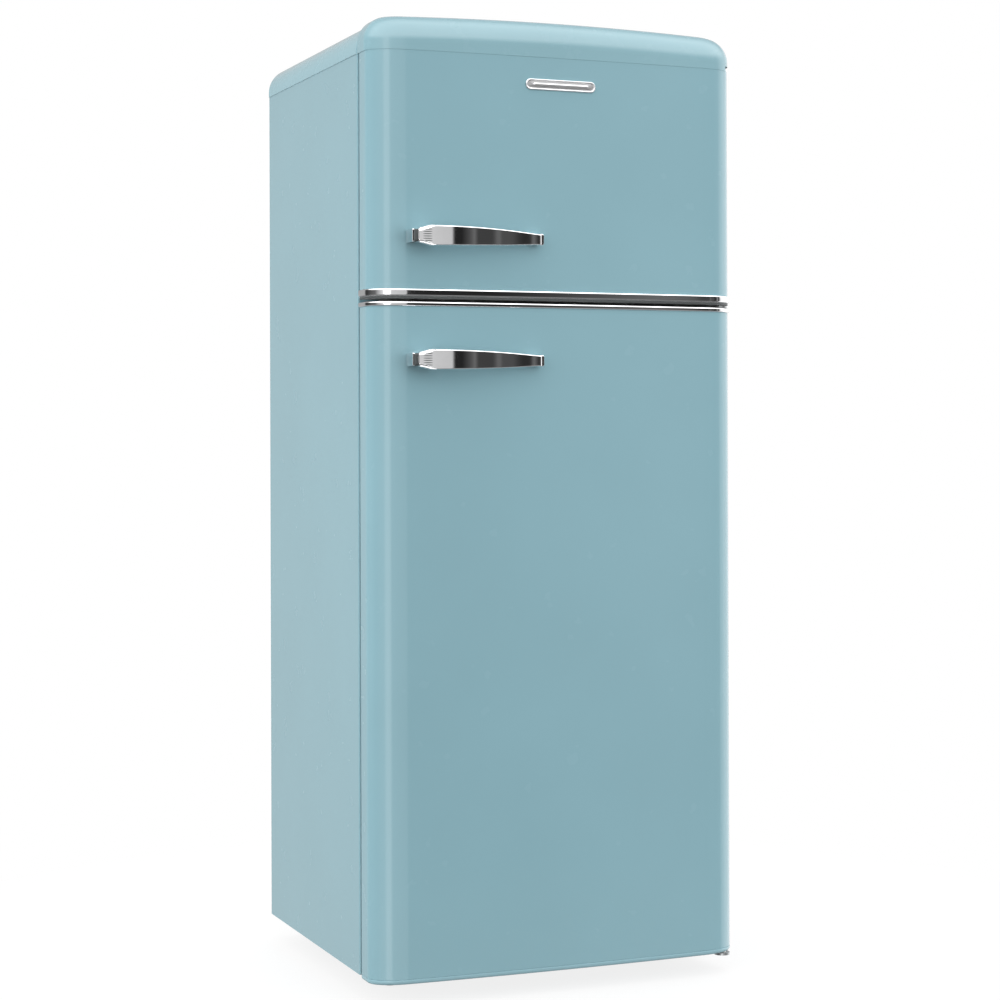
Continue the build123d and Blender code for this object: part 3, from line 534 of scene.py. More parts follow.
def cap_shell():
    """Domed top of the freezer door, a pillow with one compound corner at each side."""
    low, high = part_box("freezer_door_cap")
    bottom, crest = low.z, high.z
    back = -200.5 * MM
    half, front = HALF + PROUD, DOOR_FRONT - 0.5 * MM
    side_round, front_round, front_drop = 38 * MM, 31 * MM, 41 * MM
    run = half - side_round

    def ring(tilt, z=None):
        pull = 1 - math.cos(tilt)
        corner = (CORNER_X + PROUD - 40 * MM * pull, CORNER_Y + PROUD - 24 * MM * pull)
        outline = bowed(half - side_round * pull, back, front + front_round * pull, DOOR_BOW, *corner, 16)
        first, last = outline[1][1], max(p[1] for p in outline[17:-17])
        points = []
        for x, y in outline:
            faced = smooth(first, last - 5 * MM, y)
            radius = side_round + (front_drop - side_round) * faced
            top = crest - sag(min(abs(x), run), run, CAP_CROWN)
            points.append(Vector((x, y, top - radius * (1 - math.sin(tilt)) if z is None else z)))
        return points

    shape = bmesh.new()
    lip = ((1.45, 5.0), (1.45, 0.0), (0.6, 0.0), (0.3, 0.1), (0.15, 0.3), (0.05, 0.8), (0.0, 2.0))
    rings = []
    for inset, rise in lip:
        level = ring(0, bottom + (rise - 2.1) * MM)
        rings.append([p + at(math.copysign(inset, -p.x), 0.3 * inset, 0) for p in level])
    rings.append([p - at(0, 0, 0.8) for p in ring(0)])
    rings += [ring(math.radians(90) * i / 20) for i in range(21)]
    rows = loft(shape, rings, False, False)
    inner = rows[-1]
    deep = [inner]
    for share in (0.25, 0.5, 0.75, 1):
        deep.append([shape.verts.new((v.co.x, v.co.y + (back - v.co.y) * share, v.co.z)) for v in inner])
    for near, far in zip(deep, deep[1:]):
        for i in range(len(near) - 1):
            shape.faces.new((near[i], near[i + 1], far[i + 1], far[i]))
    rear = [row[0] for row in rows[3:]] + deep[-1] + [row[-1] for row in reversed(rows[3:])]
    shape.faces.new(rear)
    bmesh.ops.remove_doubles(shape, verts=shape.verts, dist=0.02 * MM)
    hinge_arm = Vector((0.255, -0.247, bottom - 0.01)), Vector((0.32, -0.19, bottom + 0.0057))
    notch(shape, *hinge_arm)
    piece("freezer_door_dome", shape, "freezer_door", "turquoise_plastic", "freezer_door_cap",
          angle=50, flip_if_down=True)


cap_shell()


# A handle's face in millimetres, as (x, value) knots: where it stands, its half height, its thickness.
PULL_FRONT = [
    (-238, -294.9), (-224, -298.8), (-210, -302.3), (-190, -305.1), (-171, -306), (-150, -305.2),
    (-120, -301.4), (-90, -295.2), (-60, -287.2), (-45, -282.6), (-39.5, -281.2), (-38, -281.7),
    (-36, -281.4),
]
PULL_HALF_HEIGHT = [
    (-236, 10.0), (-228, 10.9), (-220, 12.6), (-212, 14.5), (-200, 14.6), (-150, 13.6), (-100, 11.6),
    (-41, 8.1), (-39.5, 8.1), (-38, 8.7), (-36, 8.7),
]
PULL_THICKNESS = [(-236, 21), (-210, 15), (-192, 9), (-150, 6.5), (-60, 6.5), (-36, 9)]
PULL_LEFT, PULL_RIGHT = -243.0, -31.0


def pull_face(x, z):
    """Where the rounded face of a handle stands at x, at a height z from its middle."""
    round_off = 4.5 - 2.5 * smooth(-230, -212, x)
    edge = max(0.0, abs(z) - (along(PULL_HALF_HEIGHT, x) - round_off))
    return along(PULL_FRONT, x) + round_off - math.sqrt(max(0.0, round_off**2 - edge**2))


def pull_section(x, level):
    """Closed section of a handle's bar at x."""
    half = along(PULL_HALF_HEIGHT, x)
    rear = along(PULL_FRONT, x) + along(PULL_THICKNESS, x)
    steps = 48
    heights = [(-1 + 2 * i / steps) * half for i in range(steps + 1)]
    points = [at(x, pull_face(x, z), level + z) for z in heights]
    return points + [at(x, rear, level + v * (half - 1.0)) for v in (1, 0.5, 0, -0.5, -1)]


def pull_bar(shape, level):
    """Smooth barrel and tapering strap, with a rounded tip at the right."""
    stations = [-234 + i for i in range(0, 33)] + [-201 + 3.4 * i for i in range(0, 47)]
    stations = [x for x in stations if x < -43]
    stations += [-42.0, -41.0, -40.0, -39.5, -39.0, -38.5, -38.0, -37.0, -36.0]
    rings = [pull_section(x, level) for x in stations]
    tip = rings[-1]
    centre = sum(tip, Vector()) / len(tip)
    for shift, shrink in ((1.0, 0.96), (1.7, 0.86), (2.0, 0.72)):
        rings.append([centre + (p - centre) * shrink + at(shift, 0, 0) for p in tip])
    start = sum(rings[0], Vector()) / len(rings[0])
    rings.insert(0, [start + (p - start) * 0.93 - at(0.6, 0, 0) for p in rings[0]])
    loft(shape, rings)


def pull_wing(shape, level, side):
    """Raised bead that flares along the barrel's upper or lower edge."""
    wing = []
    for i in range(15):
        share = i / 14
        x = -233 + 22 * share
        z = level + side * (10.4 + 3.6 * smooth(0, 0.9, share))
        y = along(PULL_FRONT, x) + 2.6 - 1.6 * share
        body = 0.55 + 1.15 * math.sin(math.pi * min(share * 0.75 + 0.12, 0.85))
        turns = (math.tau * k / 12 for k in range(12))
        wing.append([at(x, y + 4.2 * math.sin(a) + 2.5, z + body * math.cos(a)) for a in turns])
    loft(shape, wing)


def handle(door, level):
    """Chrome latch-style pull: end plate, barrel, flared wings and a strap that tapers right."""
    name = door.split("_")[0]
    shape = bmesh.new()
    pull_bar(shape, level)
    block(shape, (PULL_LEFT, -291, level - 9.4), (PULL_LEFT + 3.2, -262.5, level + 9.4), 1.6, "x", 0.5)
    for x0, x1, half in ((PULL_LEFT + 8, PULL_LEFT + 38, 9.0), (PULL_RIGHT - 24, PULL_RIGHT - 4.5, 6.2)):
        top = along(PULL_FRONT, (x0 + x1) / 2) + 6
        block(shape, (x0, top, level - half), (x1, -261.6, level + half), 4, "y", 0.6)
    pull_wing(shape, level, -1)
    pull_wing(shape, level, 1)
    piece(f"{name}_pull", shape, door, "chrome_plate", f"{name}_handle")

    # Painted shade: a dark collar beside the end plate stands for the shadowed neck, and six dark lines along
    # the barrel stand for the shade in its grooves.
    painted_shade_marks = bmesh.new()
    block(painted_shade_marks, (PULL_LEFT + 3, -292.4, level - 9.2), (PULL_LEFT + 9.5, -270, level + 9.2), 3, "x", 0.2)
    for k in range(6):
        z = 3.3 * (k - 2.5)
        line = []
        for i in range(14):
            x = -229 + i
            y = pull_face(x, z)
            wide = 0.62 * math.sqrt(math.sin(math.pi * (i + 0.3) / 13.6))
            profile = ((-1, 0.6), (-1, 0), (-0.6, -0.06), (0.6, -0.06), (1, 0), (1, 0.6))
            line.append([at(x, y + out, level + z + side * wide) for side, out in profile])
        loft(painted_shade_marks, line)
    piece(f"{name}_pull_painted_shade", painted_shade_marks, door, "dark_grey_plastic", f"{name}_handle")


handle("freezer_door", level=1112.4)
handle("fridge_door", level=934.0)


def badge():
    """A plain satin lozenge with a raised rim and bar, with no mark on it."""
    shape = bmesh.new()
    lo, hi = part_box("badge")
    middle = (lo + hi) / 2

    def on_skin(width, height, radius, steps, section):
        rings = []
        for grow, proud in section:
            outline = rounded(width + 2 * grow * MM, height + 2 * grow * MM, radius * MM, steps)
            rings.append([])
            for u, v in outline:
                x = middle.x + u
                y = DOOR_FRONT + sag(x, HALF - CORNER_X, DOOR_BOW) - proud * MM
                rings[-1].append(Vector((x, y, middle.z + v)))
        loft(shape, rings)

    rim = ((0, 0.4), (0, 1.6), (-0.35, 2.1), (-1.1, 2.3), (-1.9, 2.0), (-2.4, 1.3), (-3.0, 1.15), (-6.5, 1.5))
    on_skin(hi.x - lo.x, hi.z - lo.z, 7.5, 8, rim)
    bar = ((0, 1.2), (0, 2.3), (-0.4, 2.8), (-1.1, 3.2), (-1.7, 3.3))
    on_skin(88 * MM, 4.4 * MM, 2.0, 6, bar)
    satin = metal("satin_chrome", (0.88, 0.88, 0.89), 0.34, (1, 30, 30), depth=0.000004, spread=0.03)
    piece("plain_badge", shape, "freezer_door", "chrome_plate", "badge", satin)


badge()


# ---------------- more of the doors
def lower_moulding():
    """Bottom cap of the fridge door with a rolled lower edge."""
    shape = bmesh.new()
    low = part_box("fridge_door_bottom_cap")[0].z
    section = [(5.0, 0.0), (3.2, 0.2), (1.7, 0.9), (0.5, 2.2), (-0.1, 4.0), (-0.3, 5.8), (-0.2, 6.9),
               (0.4, 7.35), (1.6, 7.4)]
    loft(shape, [door_ring(inset * MM, low + rise * MM, False) for inset, rise in section])
    # Painted light: this paint is a lighter copy of the turquoise moulding, so the rolled lower edge reads
    # brighter than its light makes it.
    paint = enamel("turquoise_lower_moulding_painted_light", (0.276, 0.46, 0.52))
    made = piece("fridge_door_lower_moulding", shape, "fridge_door", "turquoise_plastic",
                 "fridge_door_bottom_cap", paint)
    bored(made, HINGE, 6.5, low / MM - 10, low / MM + 20)


lower_moulding()


def core(door):
    """Foam that fills a door between its skin and its liner."""
    shape = bmesh.new()
    lo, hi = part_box(f"{door}_foam")
    outline = door_outline(1.3 * MM, DOOR_BACK - 2.2 * MM)
    levels = [lo.z + (hi.z - lo.z) * i / 6 for i in range(7)]
    loft(shape, [[Vector((x, y, z)) for x, y in outline] for z in levels])
    made = piece(f"{door}_insulation", shape, door, "foam", f"{door}_foam")
    bored(made, HINGE, 11, lo.z / MM - 10, hi.z / MM + 10)


def inner_panel(door, half, dike, sheet):
    """Vacuum-formed door liner: a flat sheet with a raised dike that carries the bins."""
    shape = bmesh.new()
    base, side_rise, sill_rise = DOOR_BACK, 58 * MM, 36 * MM
    z0, z1 = dike
    low, high = sheet

    def outline(across, up, radius, share):
        points = []
        for u, v in rounded(2 * across, 2 * up, radius, 8):
            turn = smooth(0.15, 0.95, (abs(u) - (across - radius)) / radius)
            rise = sill_rise + (side_rise - sill_rise) * turn
            points.append(Vector((u, base + rise * share, (z0 + z1) / 2 + v)))
        return points

    wide = HALF - 10 * MM
    rings = []
    for y in (base - 1.6 * MM, base - 0.4 * MM, base):
        rings.append(upright(y, (low + high) / 2, 2 * wide, high - low, 3 * MM))
    profile = [(-0.20, 0.0), (-0.08, 0.012), (-0.02, 0.04), (0.0, 0.10), (0.03, 0.90), (0.06, 0.965),
               (0.14, 1.0), (0.86, 1.0), (0.94, 0.965), (0.97, 0.90), (1.0, 0.10), (1.02, 0.03),
               (1.07, 0.008), (1.16, 0.0)]
    for share, rise in profile:
        across, up = half - 28 * MM * share, (z1 - z0) / 2 - 22 * MM * share
        rings.append(outline(across, up, (18 - 6 * share) * MM, rise))
    loft(shape, rings)
    piece(f"{door}_inner_panel", shape, door, "white_plastic", f"{door}_liner")


def gasket(door):
    """Magnetic seal with a bellows between its foot and its soft face."""
    shape = bmesh.new()
    lo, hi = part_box(f"{door}_gasket")
    half, z0, z1 = hi.x - 7 * MM, lo.z + 7 * MM, hi.z - 7 * MM
    profile = [(-5, 0), (5, 0), (5, 1.8), (4.3, 2.4), (3.2, 2.6), (4.4, 3.3), (4.4, 3.7), (3.4, 4.3),
               (6.4, 4.7), (7, 5.1), (7, 6.7), (6.2, 7.4), (2, 7.2), (-2, 7.2), (-6.2, 7.4), (-7, 6.7),
               (-7, 5.1), (-6.4, 4.7), (-3.4, 4.3), (-4.4, 3.7), (-4.4, 3.3), (-3.2, 2.6), (-4.3, 2.4),
               (-5, 1.8)]
    rings = []
    for out, rise in profile + profile[:1]:
        width, height = 2 * (half + out * MM), z1 - z0 + 2 * out * MM
        rings.append(upright(DOOR_BACK + rise * MM, (z0 + z1) / 2, width, height, (9 + out) * MM, 6))
    loft(shape, rings, True, False)
    bmesh.ops.remove_doubles(shape, verts=shape.verts, dist=1e-6)
    piece(f"{door}_bellows_seal", shape, door, "grey_rubber", f"{door}_gasket")


def tub(lo, hi, radius, wall=2.5):
    """An open moulded tub with a beaded rim, drafted walls and a rounded floor."""
    shape = bmesh.new()
    z0, z1 = lo.z, hi.z
    mid = (z0 + z1) / 2
    bead, draft = 0.9, 1.4
    foot, skin = bead + draft, bead + wall
    section = [(foot + 3.0, z0), (foot + 1.0, z0 + 0.7 * MM), (foot, z0 + 3 * MM), (bead + draft / 2, mid)]
    section += [(inset, z1 - drop * MM) for inset, drop in (
        (bead, 5.4), (0.2, 4.8), (0, 4), (0, 1.0), (0.3, 0.3), (0.9, 0),
        (skin - 0.8, 0), (skin - 0.2, 0.4), (skin, 1.4))]
    section += [(skin + draft / 2, mid), (skin + draft, z0 + (wall + 5) * MM),
                (skin + draft + 1.4, z0 + (wall + 1.2) * MM), (skin + draft + 4.5, z0 + wall * MM)]
    cx, cy = (lo.x + hi.x) / 2, (lo.y + hi.y) / 2
    rings = []
    for inset, z in section:
        inset *= MM
        size = hi.x - lo.x - 2 * inset, hi.y - lo.y - 2 * inset
        outline = rounded(*size, max(radius - inset * 0.6, 2 * MM), 6)
        rings.append([Vector((cx + u, cy + v, z)) for u, v in outline])
    loft(shape, rings)
    return shape


def bin_piece(node, body):
    """Door bin: a tub with three ribs along its front."""
    lo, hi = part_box(node)
    shape = tub(lo, hi, 9 * MM)
    for k in range(3):
        z = lo.z + (hi.z - lo.z) * (0.34 + 0.14 * k)
        low = Vector((lo.x + 24 * MM, hi.y - 2.4 * MM, z))
        high = Vector((hi.x - 24 * MM, hi.y - 0.7 * MM, z + 2.4 * MM))
        slab(shape, low, high, 1.1 * MM, "y", 0.5 * MM, 3)
    piece(f"{node}_moulded", shape, body, "clear_plastic", node)


inner_panel("freezer_door", 0.227, dike=(1.063, 1.319), sheet=(1.0375, 1.376))
inner_panel("fridge_door", 0.237, dike=(0.122, 0.976), sheet=(0.0455, 1.005))
core("freezer_door")
core("fridge_door")
gasket("freezer_door")
gasket("fridge_door")
for bin_node in ("freezer_door_bin_lower", "freezer_door_bin_upper"):
    bin_piece(bin_node, "freezer_door")
for bin_node in ("fridge_door_bin_upper", "fridge_door_bin_lower", "fridge_door_bottle_rack"):
    bin_piece(bin_node, "fridge_door")


# ---------------- cabinet
FLANGE = 262 * MM


def side_sheet(name, side):
    """Painted side sheet, folded in at the front and back with rolled corners."""
    shape = bmesh.new()
    lo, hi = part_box(name)
    roll, sheet, hem = 2.5 * MM, 1 * MM, 280 * MM
    near, far = lo.y + roll, hi.y - roll
    outline = [(FLANGE, lo.y)] + arc(HALF - roll, near, roll, -90, 0) + arc(HALF - roll, far, roll, 0, 90)
    outline += [(hem, hi.y), (hem, hi.y - sheet)]
    outline += arc(HALF - roll, far, roll - sheet, 90, 0) + arc(HALF - roll, near, roll - sheet, 0, -90)
    outline += [(FLANGE, lo.y + sheet)]
    levels = [lo.z + (hi.z - lo.z) * i / 12 for i in range(13)]
    loft(shape, [[Vector((side * x, y, z)) for x, y in outline] for z in levels])
    piece(f"{name}_sheet", shape, "cabinet", "turquoise_steel", name)


def lid():
    """Crowned top cover with rounded front and rear edges."""
    shape = bmesh.new()
    lo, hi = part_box("top_cover")
    crown, corner = 7 * MM, 42 * MM
    side = hi.x - 0.3 * MM

    def ring(y, inset):
        inset *= MM
        eased = corner - 0.7 * inset
        outline = bowed(side - inset, lo.z + 0.3 * MM, hi.z - inset, crown, eased, eased, 14)
        low = [(x * (1 - 0.4 * MM / hi.x), lo.z) for x in (outline[0][0], outline[-1][0])]
        return [Vector((x, y, z)) for x, z in [low[0]] + outline + [low[1]]]

    rings = [ring(lo.y + y * MM, inset) for y, inset in ((0, 1.6), (0.3, 0.8), (0.9, 0.25), (1.8, 0))]
    rings += [ring(lo.y + (hi.y - lo.y) * i / 8, 0) for i in range(1, 8)]
    for i in range(9):
        turn = math.radians(90 * i / 8)
        rings.append(ring(hi.y - 4 * MM * (1 - math.sin(turn)), 4 * (1 - math.cos(turn))))
    loft(shape, rings)
    # Painted light: the lid's paint is a lighter copy of the turquoise moulding, so its shaded side reads as
    # bright as a lit one.
    paint = enamel("turquoise_lid_painted_light", (0.272, 0.452, 0.508))
    piece("crowned_top_cover", shape, "cabinet", "turquoise_plastic", "top_cover", paint, angle=50)


def room(name, node, half, back, inside, plate, runners, hump=None):
    """Vacuum-formed liner with a turned-out front flange, rounded corners and shelf runners."""
    shape = bmesh.new()
    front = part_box(node)[0].y
    z0, z1 = inside
    low, high = plate

    def ring(y, grow, floor, radius=16):
        grow *= MM
        size = 2 * (half + grow), z1 - floor + 2 * grow
        return upright(y, (floor + z1) / 2, *size, radius * MM, 7)

    rings = []
    for y, inset in ((front + 1 * MM, 0), (front + 0.3 * MM, 0), (front, 0.3 * MM)):
        size = 2 * (FLANGE - inset), high - low - 2 * inset
        rings.append(upright(y, (low + high) / 2, *size, 2 * MM, 7))
    for depth, grow, radius in ((0, 4.2, 20), (0.3, 2.6, 19), (1.2, 1.2, 18), (2.6, 0.35, 17), (4.5, 0, 16)):
        rings.append(ring(front + depth * MM, grow, z0, radius))
    rings += [ring(y * MM, 0, z0) for y in (-160, -80, 0, 60)]
    floor = z0
    if hump:
        hump_y, floor = hump
        steps = (-9, 0), (-4, 1.2), (-1, 4), (0, 9)
        rings += [ring(hump_y + dy * MM, 0, z0 + dz * MM) for dy, dz in steps]
        rings += [ring(hump_y - dy * MM, 0, floor - dz * MM) for dy, dz in reversed(steps)]
    for i in range(9):
        turn = math.radians(90 * i / 8)
        y = back - 14 * MM * (1 - math.sin(turn))
        rings.append(ring(y, -14 * (1 - math.cos(turn)), floor, 16 - i))
    rows = loft(shape, rings, True, False)
    shape.faces.new(rows[-1])
    for y0, y1, bottom, top in runners:
        for side in (-1, 1):
            ends = sorted((side * (half - 9 * MM), side * (half + 0.6 * MM)))
            corners = Vector((ends[0], y0, bottom)), Vector((ends[1], y1, top))
            slab(shape, *corners, 2.6 * MM, "y", 1.8 * MM, 4)
    piece(name, shape, "cabinet", "white_plastic", node)


side_sheet("side_panel_left", -1)
side_sheet("side_panel_right", 1)
lid()
fridge_runners = [(-0.092, 0.204, level - 0.008, level) for level in (0.745, 0.505, 0.272)]
freezer_runners = [(-0.092, 0.185, 1.182, 1.188)]
room("fridge_compartment", "fridge_liner", half=0.250, back=0.215, inside=(0.110, 0.988),
     plate=(0.060, 0.990), runners=fridge_runners, hump=(0.082, 0.262))
room("freezer_compartment", "freezer_liner", half=0.240, back=0.205, inside=(1.052, 1.330),
     plate=(1.050, 1.384), runners=freezer_runners)

for pane in ("glass_shelf_upper", "glass_shelf_lower", "crisper_cover"):
    sheet = bmesh.new()
    slab(sheet, *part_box(pane), 6 * MM, "z", 1.1 * MM, 6)
    piece(f"{pane}_pane", sheet, "cabinet", "shelf_glass", pane)


def crisper():
    """Drawer with a beaded rim and a hooked grip along its front."""
    lo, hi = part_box("crisper_drawer")
    shape = tub(Vector((lo.x, lo.y + 8 * MM, lo.z)), hi, 10 * MM, 3.0)
    grip = [(7.5, -20), (2.4, -20), (0.6, -21.2), (0, -23.4), (0, -38), (0.7, -39.6), (2, -40), (3, -39.3),
            (3, -26.5), (4.2, -24.4), (8.6, -24)]
    half_grip = ((-90, 0.6), (-89, 0.2), (-87.5, 0))
    rings = []
    for x, shrink in half_grip + tuple((-x, shrink) for x, shrink in reversed(half_grip)):
        rings.append([])
        for y, z in grip:
            y += shrink if y < 4 else 0
            z += shrink if z < -30 else 0
            rings[-1].append(Vector((x * MM, lo.y + y * MM, hi.z + z * MM)))
    loft(shape, rings)
    piece("crisper_tub", shape, "crisper_drawer", "clear_plastic", "crisper_drawer")


crisper()


def knob():
    """Thermostat knob with a finger grip and a fluted rim."""
    shape = bmesh.new()
    y, z, face = -58, 936, 206
    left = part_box("thermostat_knob")[0].x / MM
    rings = []
    for radius, out, flute in ((17.5, 0.4, 0), (18.9, 1.6, 0.5), (18.9, 12.5, 0.5), (18.2, 14.6, 0.3),
                               (16.6, 15.7, 0), (13, 16, 0), (12.4, 15.5, 0), (0.4, 15.4, 0)):
        ring = []
        for i in range(120):
            turn = math.tau * i / 120
            r = radius - flute * (0.5 + 0.5 * math.cos(30 * turn))
            ring.append(at(face - out, y + r * math.cos(turn), z + r * math.sin(turn)))
        rings.append(ring)
    loft(shape, rings)
    block(shape, (left, y - 4, z - 15), (face - 14, y + 4, z + 15), 3, "x", 1.2)
    block(shape, (left, y - 0.8, z + 6), (left + 0.8, y + 0.8, z + 13), 0.5, "x", 0.2)
    lathe(shape, [(3.0, face - 2), (3.0, face + 19), (2.2, face + 20)], (0, y, z), "x", 24)
    piece("ribbed_thermostat_knob", shape, "thermostat_knob", "white_plastic", "thermostat_knob")


knob()


# ---------------- back and machine space
def compressor():
    """Welded steel pot on a base plate, with its relay box."""
    shape = bmesh.new()
    x, y = -50, 194
    pot = [(0.5, 58), (40, 58), (50, 60), (57, 66), (60, 75), (60, 117.4), (62.6, 118), (63, 118.6),
           (63, 120.7), (62.2, 121), (63, 121.3), (63, 123.4), (62.6, 124), (60.2, 124.6), (59.8, 142),
           (57.5, 156), (51, 167), (40, 173), (24, 175.4), (0.5, 176)]
    lathe(shape, pot, (x, y, 0), steps=64)
    block(shape, (x - 88, y - 55, 56), (x + 88, y + 55, 59), 14, "z", 0.6, 6)
    block(shape, (x + 50, y - 26, 80), (x + 84, y + 26, 140), 5, "x", 3)
    block(shape, (x + 83, y - 20, 88), (x + 84, y + 20, 132), 3, "x", 0.4)
    washer = [(6.4, 58.6), (8.5, 59), (8.2, 59.6), (6.4, 59.8)]
    for dx in (-75, 75):
        for dy in (-45, 45):
            lathe(shape, washer, (x + dx, y + dy, 0), steps=24, caps=False)
    piece("compressor_pot", shape, "cabinet", "black_steel", "compressor")


def condenser_coil():
    """Serpentine tube with upright wires and clips, behind the back panel."""
    y, half, bottom, pitch, count = 290, 215, 300, 48, 20
    run = []
    for i in range(count):
        side = 1 if i % 2 == 0 else -1
        start = [-side * half] if i == 0 else [-side * (half + 26), -side * half * 0.92]
        end = [side * half] if i == count - 1 else [side * half * 0.92, side * (half + 26)]
        run += [(x, y, bottom + i * pitch) for x in start + end]
    pipe("condenser_tube", [[at(*p) for p in run]], 2.4 * MM, "condenser")
    uprights = (-200 + 400 * i / 21 for i in range(22))
    wires = [[at(x, y + 2.9, z) for z in (288, 600, 900, 1224)] for x in uprights]
    pipe("condenser_wires", wires, 0.9 * MM, order=2)
    shape = bmesh.new()
    screw = [(4, 291), (4, 291.6), (3.2, 292.4), (1.4, 292.6), (1.2, 291.8)]
    for x in (-170, 170):
        for z in (300, 1212):
            block(shape, (x - 10, 268, z - 5), (x + 10, 291, z + 5), 2, "y", 0.6, 3)
            lathe(shape, screw, (x, 0, z), "y", 20)
    piece("condenser_clips", shape, "cabinet", "black_steel", "condenser")


def rear_sheet():
    """Zinc-plated rear panel with rolled ribs."""
    shape = bmesh.new()
    lo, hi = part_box("back_panel")
    top = hi.y - 1.2 * MM
    slab(shape, lo, Vector((hi.x, top, hi.z)), 1 * MM, "y", 0.2 * MM)
    for z in range(350, 1150, 170):
        rib = Vector((-0.25, top - 0.3 * MM, z * MM)), Vector((0.25, hi.y, (z + 10) * MM))
        slab(shape, *rib, 4.8 * MM, "y", 1.1 * MM, 6)
    piece("ribbed_rear_sheet", shape, "cabinet", "galvanised_steel", "back_panel")


compressor()
condenser_coil()
piece("drip_pan", tub(*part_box("drip_tray"), 9 * MM, 2.0), "cabinet", "dark_grey_plastic", "drip_tray")
rear_sheet()


def roller(word):
    """Grooved wheel with a softer tread."""
    shape = bmesh.new()
    lo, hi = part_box(f"roller_{word}")
    r = (hi.z - lo.z) / 2 / MM
    tread = [(3.1, -9.2), (6, -9.2), (7, -7.2), (10, -7.2), (11, -9.6), (r - 1.6, -10), (r - 0.5, -9.5),
             (r, -8.2), (r, -3), (r - 0.6, -2.4), (r - 0.6, 2.4), (r, 3), (r, 8.2), (r - 0.5, 9.5),
             (r - 1.6, 10), (11, 9.6), (10, 8.4), (6, 8.4), (5.4, 9.6), (3.1, 9.6)]
    lathe(shape, tread + tread[:1], (lo + hi) / 2 / MM, "x", 48, False)
    bmesh.ops.remove_doubles(shape, verts=shape.verts, dist=1e-6)
    piece(f"roller_wheel_{word}", shape, f"roller_{word}", "dark_grey_plastic", f"roller_{word}")


def levelling_foot(word):
    """Round pad with a hexagon and a threaded stem."""
    name = f"levelling_foot_{word}"
    shape = bmesh.new()
    lo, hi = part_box(name)
    mid = (lo + hi) / 2 / MM
    centre = (mid.x, mid.y, 0)
    pad = [(10.5, 0), (12.2, 0.4), (14.6, 2.4), (16, 4.2), (16, 6.4), (15.4, 8), (14, 8.8), (12, 9),
           (9.6, 9.2)]
    lathe(shape, pad, centre)
    lathe(shape, [(8.4, 9), (9, 9.6), (9, 16.2), (8.4, 17)], centre, steps=6)
    thread = [(4.0, 16.8)]
    for i in range(26):
        thread += [(4.9, 17.6 + 1.5 * i), (4.3, 18.35 + 1.5 * i)]
    lathe(shape, thread + [(3.6, 57)], centre, steps=24)
    piece(f"foot_{word}", shape, name, "dark_grey_plastic", name)


def screws():
    """Recessed pan heads on the three hinges."""
    shape = bmesh.new()
    head = [(4, 0), (4, 0.5), (3.5, 1.2), (2.2, 1.75), (1.9, 1.8), (1.6, 0.9), (0.2, 0.8)]
    for x, y, z in ((244, -198, 1015.5), (244, -198, 1026.5), (236, -199, 44), (256, -199, 44)):
        lathe(shape, [(r, y - h) for r, h in head], (x, 0, z), "y", 24)
        lathe(shape, [(2, y), (2, -184)], (x, 0, z), "y", 16)
    for x, y in ((250, -175), (250, -140)):
        lathe(shape, [(1.2 * r, 1387 + 1.2 * h) for r, h in head], (x, y, 0), steps=24)
        lathe(shape, [(2.4, 1370), (2.4, 1387)], (x, y, 0), steps=16)
    piece("hinge_screw_heads", shape, "cabinet", "galvanised_steel", "hinge_screws")


roller("left")
roller("right")
levelling_foot("left")
levelling_foot("right")
screws()


# ---------------- floor, light and camera
def studio_floor():
    """Pale floor that fades into the white backdrop away from the object."""
    bpy.ops.mesh.primitive_grid_add(x_subdivisions=8, y_subdivisions=8, size=60, location=(0, 0, -0.0005))
    floor = bpy.context.object
    floor.name = "studio_floor"
    shade = Shade("pale_studio_floor", (0.86, 0.86, 0.86), 0.6)
    shade.link(shade.tinted(shade.noise(6.0), 0.01), "Base Color")
    shade.bump(shade.noise(60), 0.0002)
    seen = shade.add("LightPath").outputs["Is Camera Ray"]
    glow = shade.add("Emission", Color=(1, 1, 1, 1), Strength=shade.ranged(seen, 0.30, 1.0, 0, 1))
    reach = shade.add("VectorMath", {"operation": "LENGTH"})
    shade.feed(reach.inputs[0], shade.point)
    away = shade.ranged(reach.outputs["Value"], 0.82, 1, 0.35, 1.1)
    blend = shade.add("MixShader", Fac=away)
    shade.feed(blend.inputs[1], shade.bsdf.outputs[0])
    shade.feed(blend.inputs[2], glow.outputs[0])
    shade.feed(shade.tree.nodes["Material Output"].inputs["Surface"], blend.outputs[0])
    floor.data.materials.append(shade.material)
    floor.visible_glossy = False


# Brightness of the walls round the object, by compass angle in degrees from straight ahead.
WALLS = [
    (-180, 0.5), (-150, 0.6), (-125, 1.3), (-85, 1.6), (-70, 1.0), (-68, 0.9), (-65, 0.05), (-62, 0.05),
    (-60, 0.36), (-57, 0.07), (-54, 0.02), (-49, 0.08), (-45, 0.08), (-43, 0.16), (-40, 0.055),
    (-32, 0.055), (-30, 0.16), (-26, 0.09), (-20, 0.02), (-13, 0.02), (-11.5, 0.6), (15, 0.68),
    (19, 2.1), (28, 2.1), (35, 0.8), (60, 0.15), (104, 0.05), (124, 0.05), (138, 0.43), (180, 0.43),
]


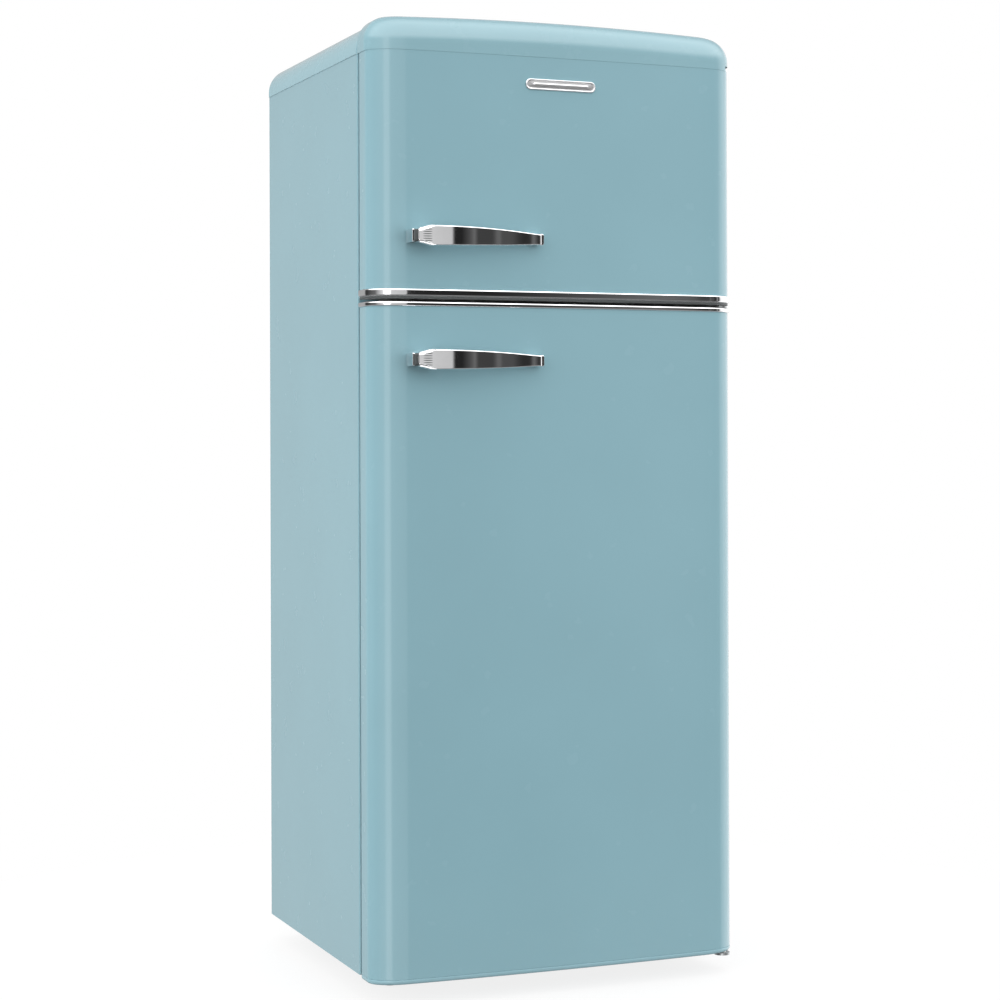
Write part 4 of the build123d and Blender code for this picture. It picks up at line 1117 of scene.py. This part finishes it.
def studio_world():
    """A white cyclorama with a dark flag to the front right and a dim side to the left."""
    world = bpy.data.worlds.new("studio")
    bpy.context.scene.world = world
    world.use_nodes = True
    graph = Graph(world.node_tree)
    direction = graph.add("TexCoord").outputs["Generated"]
    x, y, z = graph.add("SeparateXYZ", Vector=direction).outputs
    turn = graph.math("ARCTAN2", graph.math("MULTIPLY", x, -1.0), graph.math("MULTIPLY", y, -1.0))
    share = graph.math("ADD", graph.math("MULTIPLY", turn, 0.5 / math.pi), 0.5)
    ramp = graph.add("ValToRGB", Fac=share)
    elements = ramp.color_ramp.elements
    while len(elements) < len(WALLS):
        elements.new(0.5)
    for element, (angle, value) in zip(elements, WALLS):
        element.position = (angle + 180) / 360
        element.color = (value, value, value, 1)
    overhead = graph.ranged(z, 0.0, 1.0, 0.30, 0.50)
    below = graph.ranged(z, 0.0, 1.0, -0.35, -0.55)
    ahead = graph.ranged(y, 0.55, 3.1, 0.35, -0.15)
    ray = graph.add("LightPath")
    glossy = ray.outputs["Is Glossy Ray"]
    bright = graph.math("MULTIPLY", glossy, ahead)
    matt = graph.math("MULTIPLY", graph.math("SUBTRACT", 1.0, glossy), 1.25)
    above = graph.mixed(overhead, ramp.outputs[0], graph.math("ADD", bright, matt))
    walls = graph.mixed(below, above, (0.32, 0.32, 0.32))
    backdrop = graph.mixed(ray.outputs["Is Camera Ray"], walls, (1.0, 1.0, 1.0))
    graph.feed(graph.tree.nodes["Background"].inputs["Color"], backdrop)


def softbox(name, location, target, width, height, power):
    """Rectangular light aimed at a point, hidden from reflections."""
    light = bpy.data.lights.new(name, "AREA")
    light.shape = "RECTANGLE"
    light.size = width
    light.size_y = height
    light.energy = power
    lamp = placed(name, light)
    lamp.location = location
    lamp.rotation_euler = (Vector(target) - Vector(location)).to_track_quat("-Z", "Y").to_euler()
    lamp.visible_glossy = False


def camera():
    """The photograph's camera, as fitted to the outline of the object."""
    yaw, pitch, roll = (math.radians(a) for a in (21.88, 0.19, -0.18))
    ahead = Vector((math.sin(yaw) * math.cos(pitch), math.cos(yaw) * math.cos(pitch), math.sin(pitch)))
    level = Vector((math.cos(yaw), -math.sin(yaw), 0))
    above = level.cross(ahead)
    right = math.cos(roll) * level + math.sin(roll) * above
    up = right.cross(ahead)
    data = bpy.data.cameras.new("camera")
    view = placed("camera", data)
    axes = Matrix((right, up, -ahead)).transposed()
    view.matrix_world = Matrix.Translation((-1.3401, -3.3575, 0.8249)) @ axes.to_4x4()
    data.sensor_width = 36.0
    data.lens = 81.75
    data.shift_y = -0.0724
    data.clip_end = 100
    bpy.context.scene.camera = view


studio_floor()
studio_world()
softbox("overhead_softbox", (-0.2, -0.7, 3.2), (0, -0.1, 1.4), 1.3, 1.2, 3)
for name, location, height, power in (
    ("key_softbox", (-3.0, -2.0, 1.9), 2.4, 27),
    ("fill_softbox", (1.6, -3.2, 1.3), 2.4, 51),
    ("left_softbox", (-3.2, 0.3, 0.9), 2.0, 72),
    ("right_softbox", (3.2, 0.0, 1.0), 2.0, 20),
    ("rear_softbox", (0.6, 3.2, 1.2), 2.0, 34),
):
    softbox(name, location, (0, 0, 0.7), 2.0, height, power)
camera()
bpy.context.scene.view_settings.view_transform = "Standard"
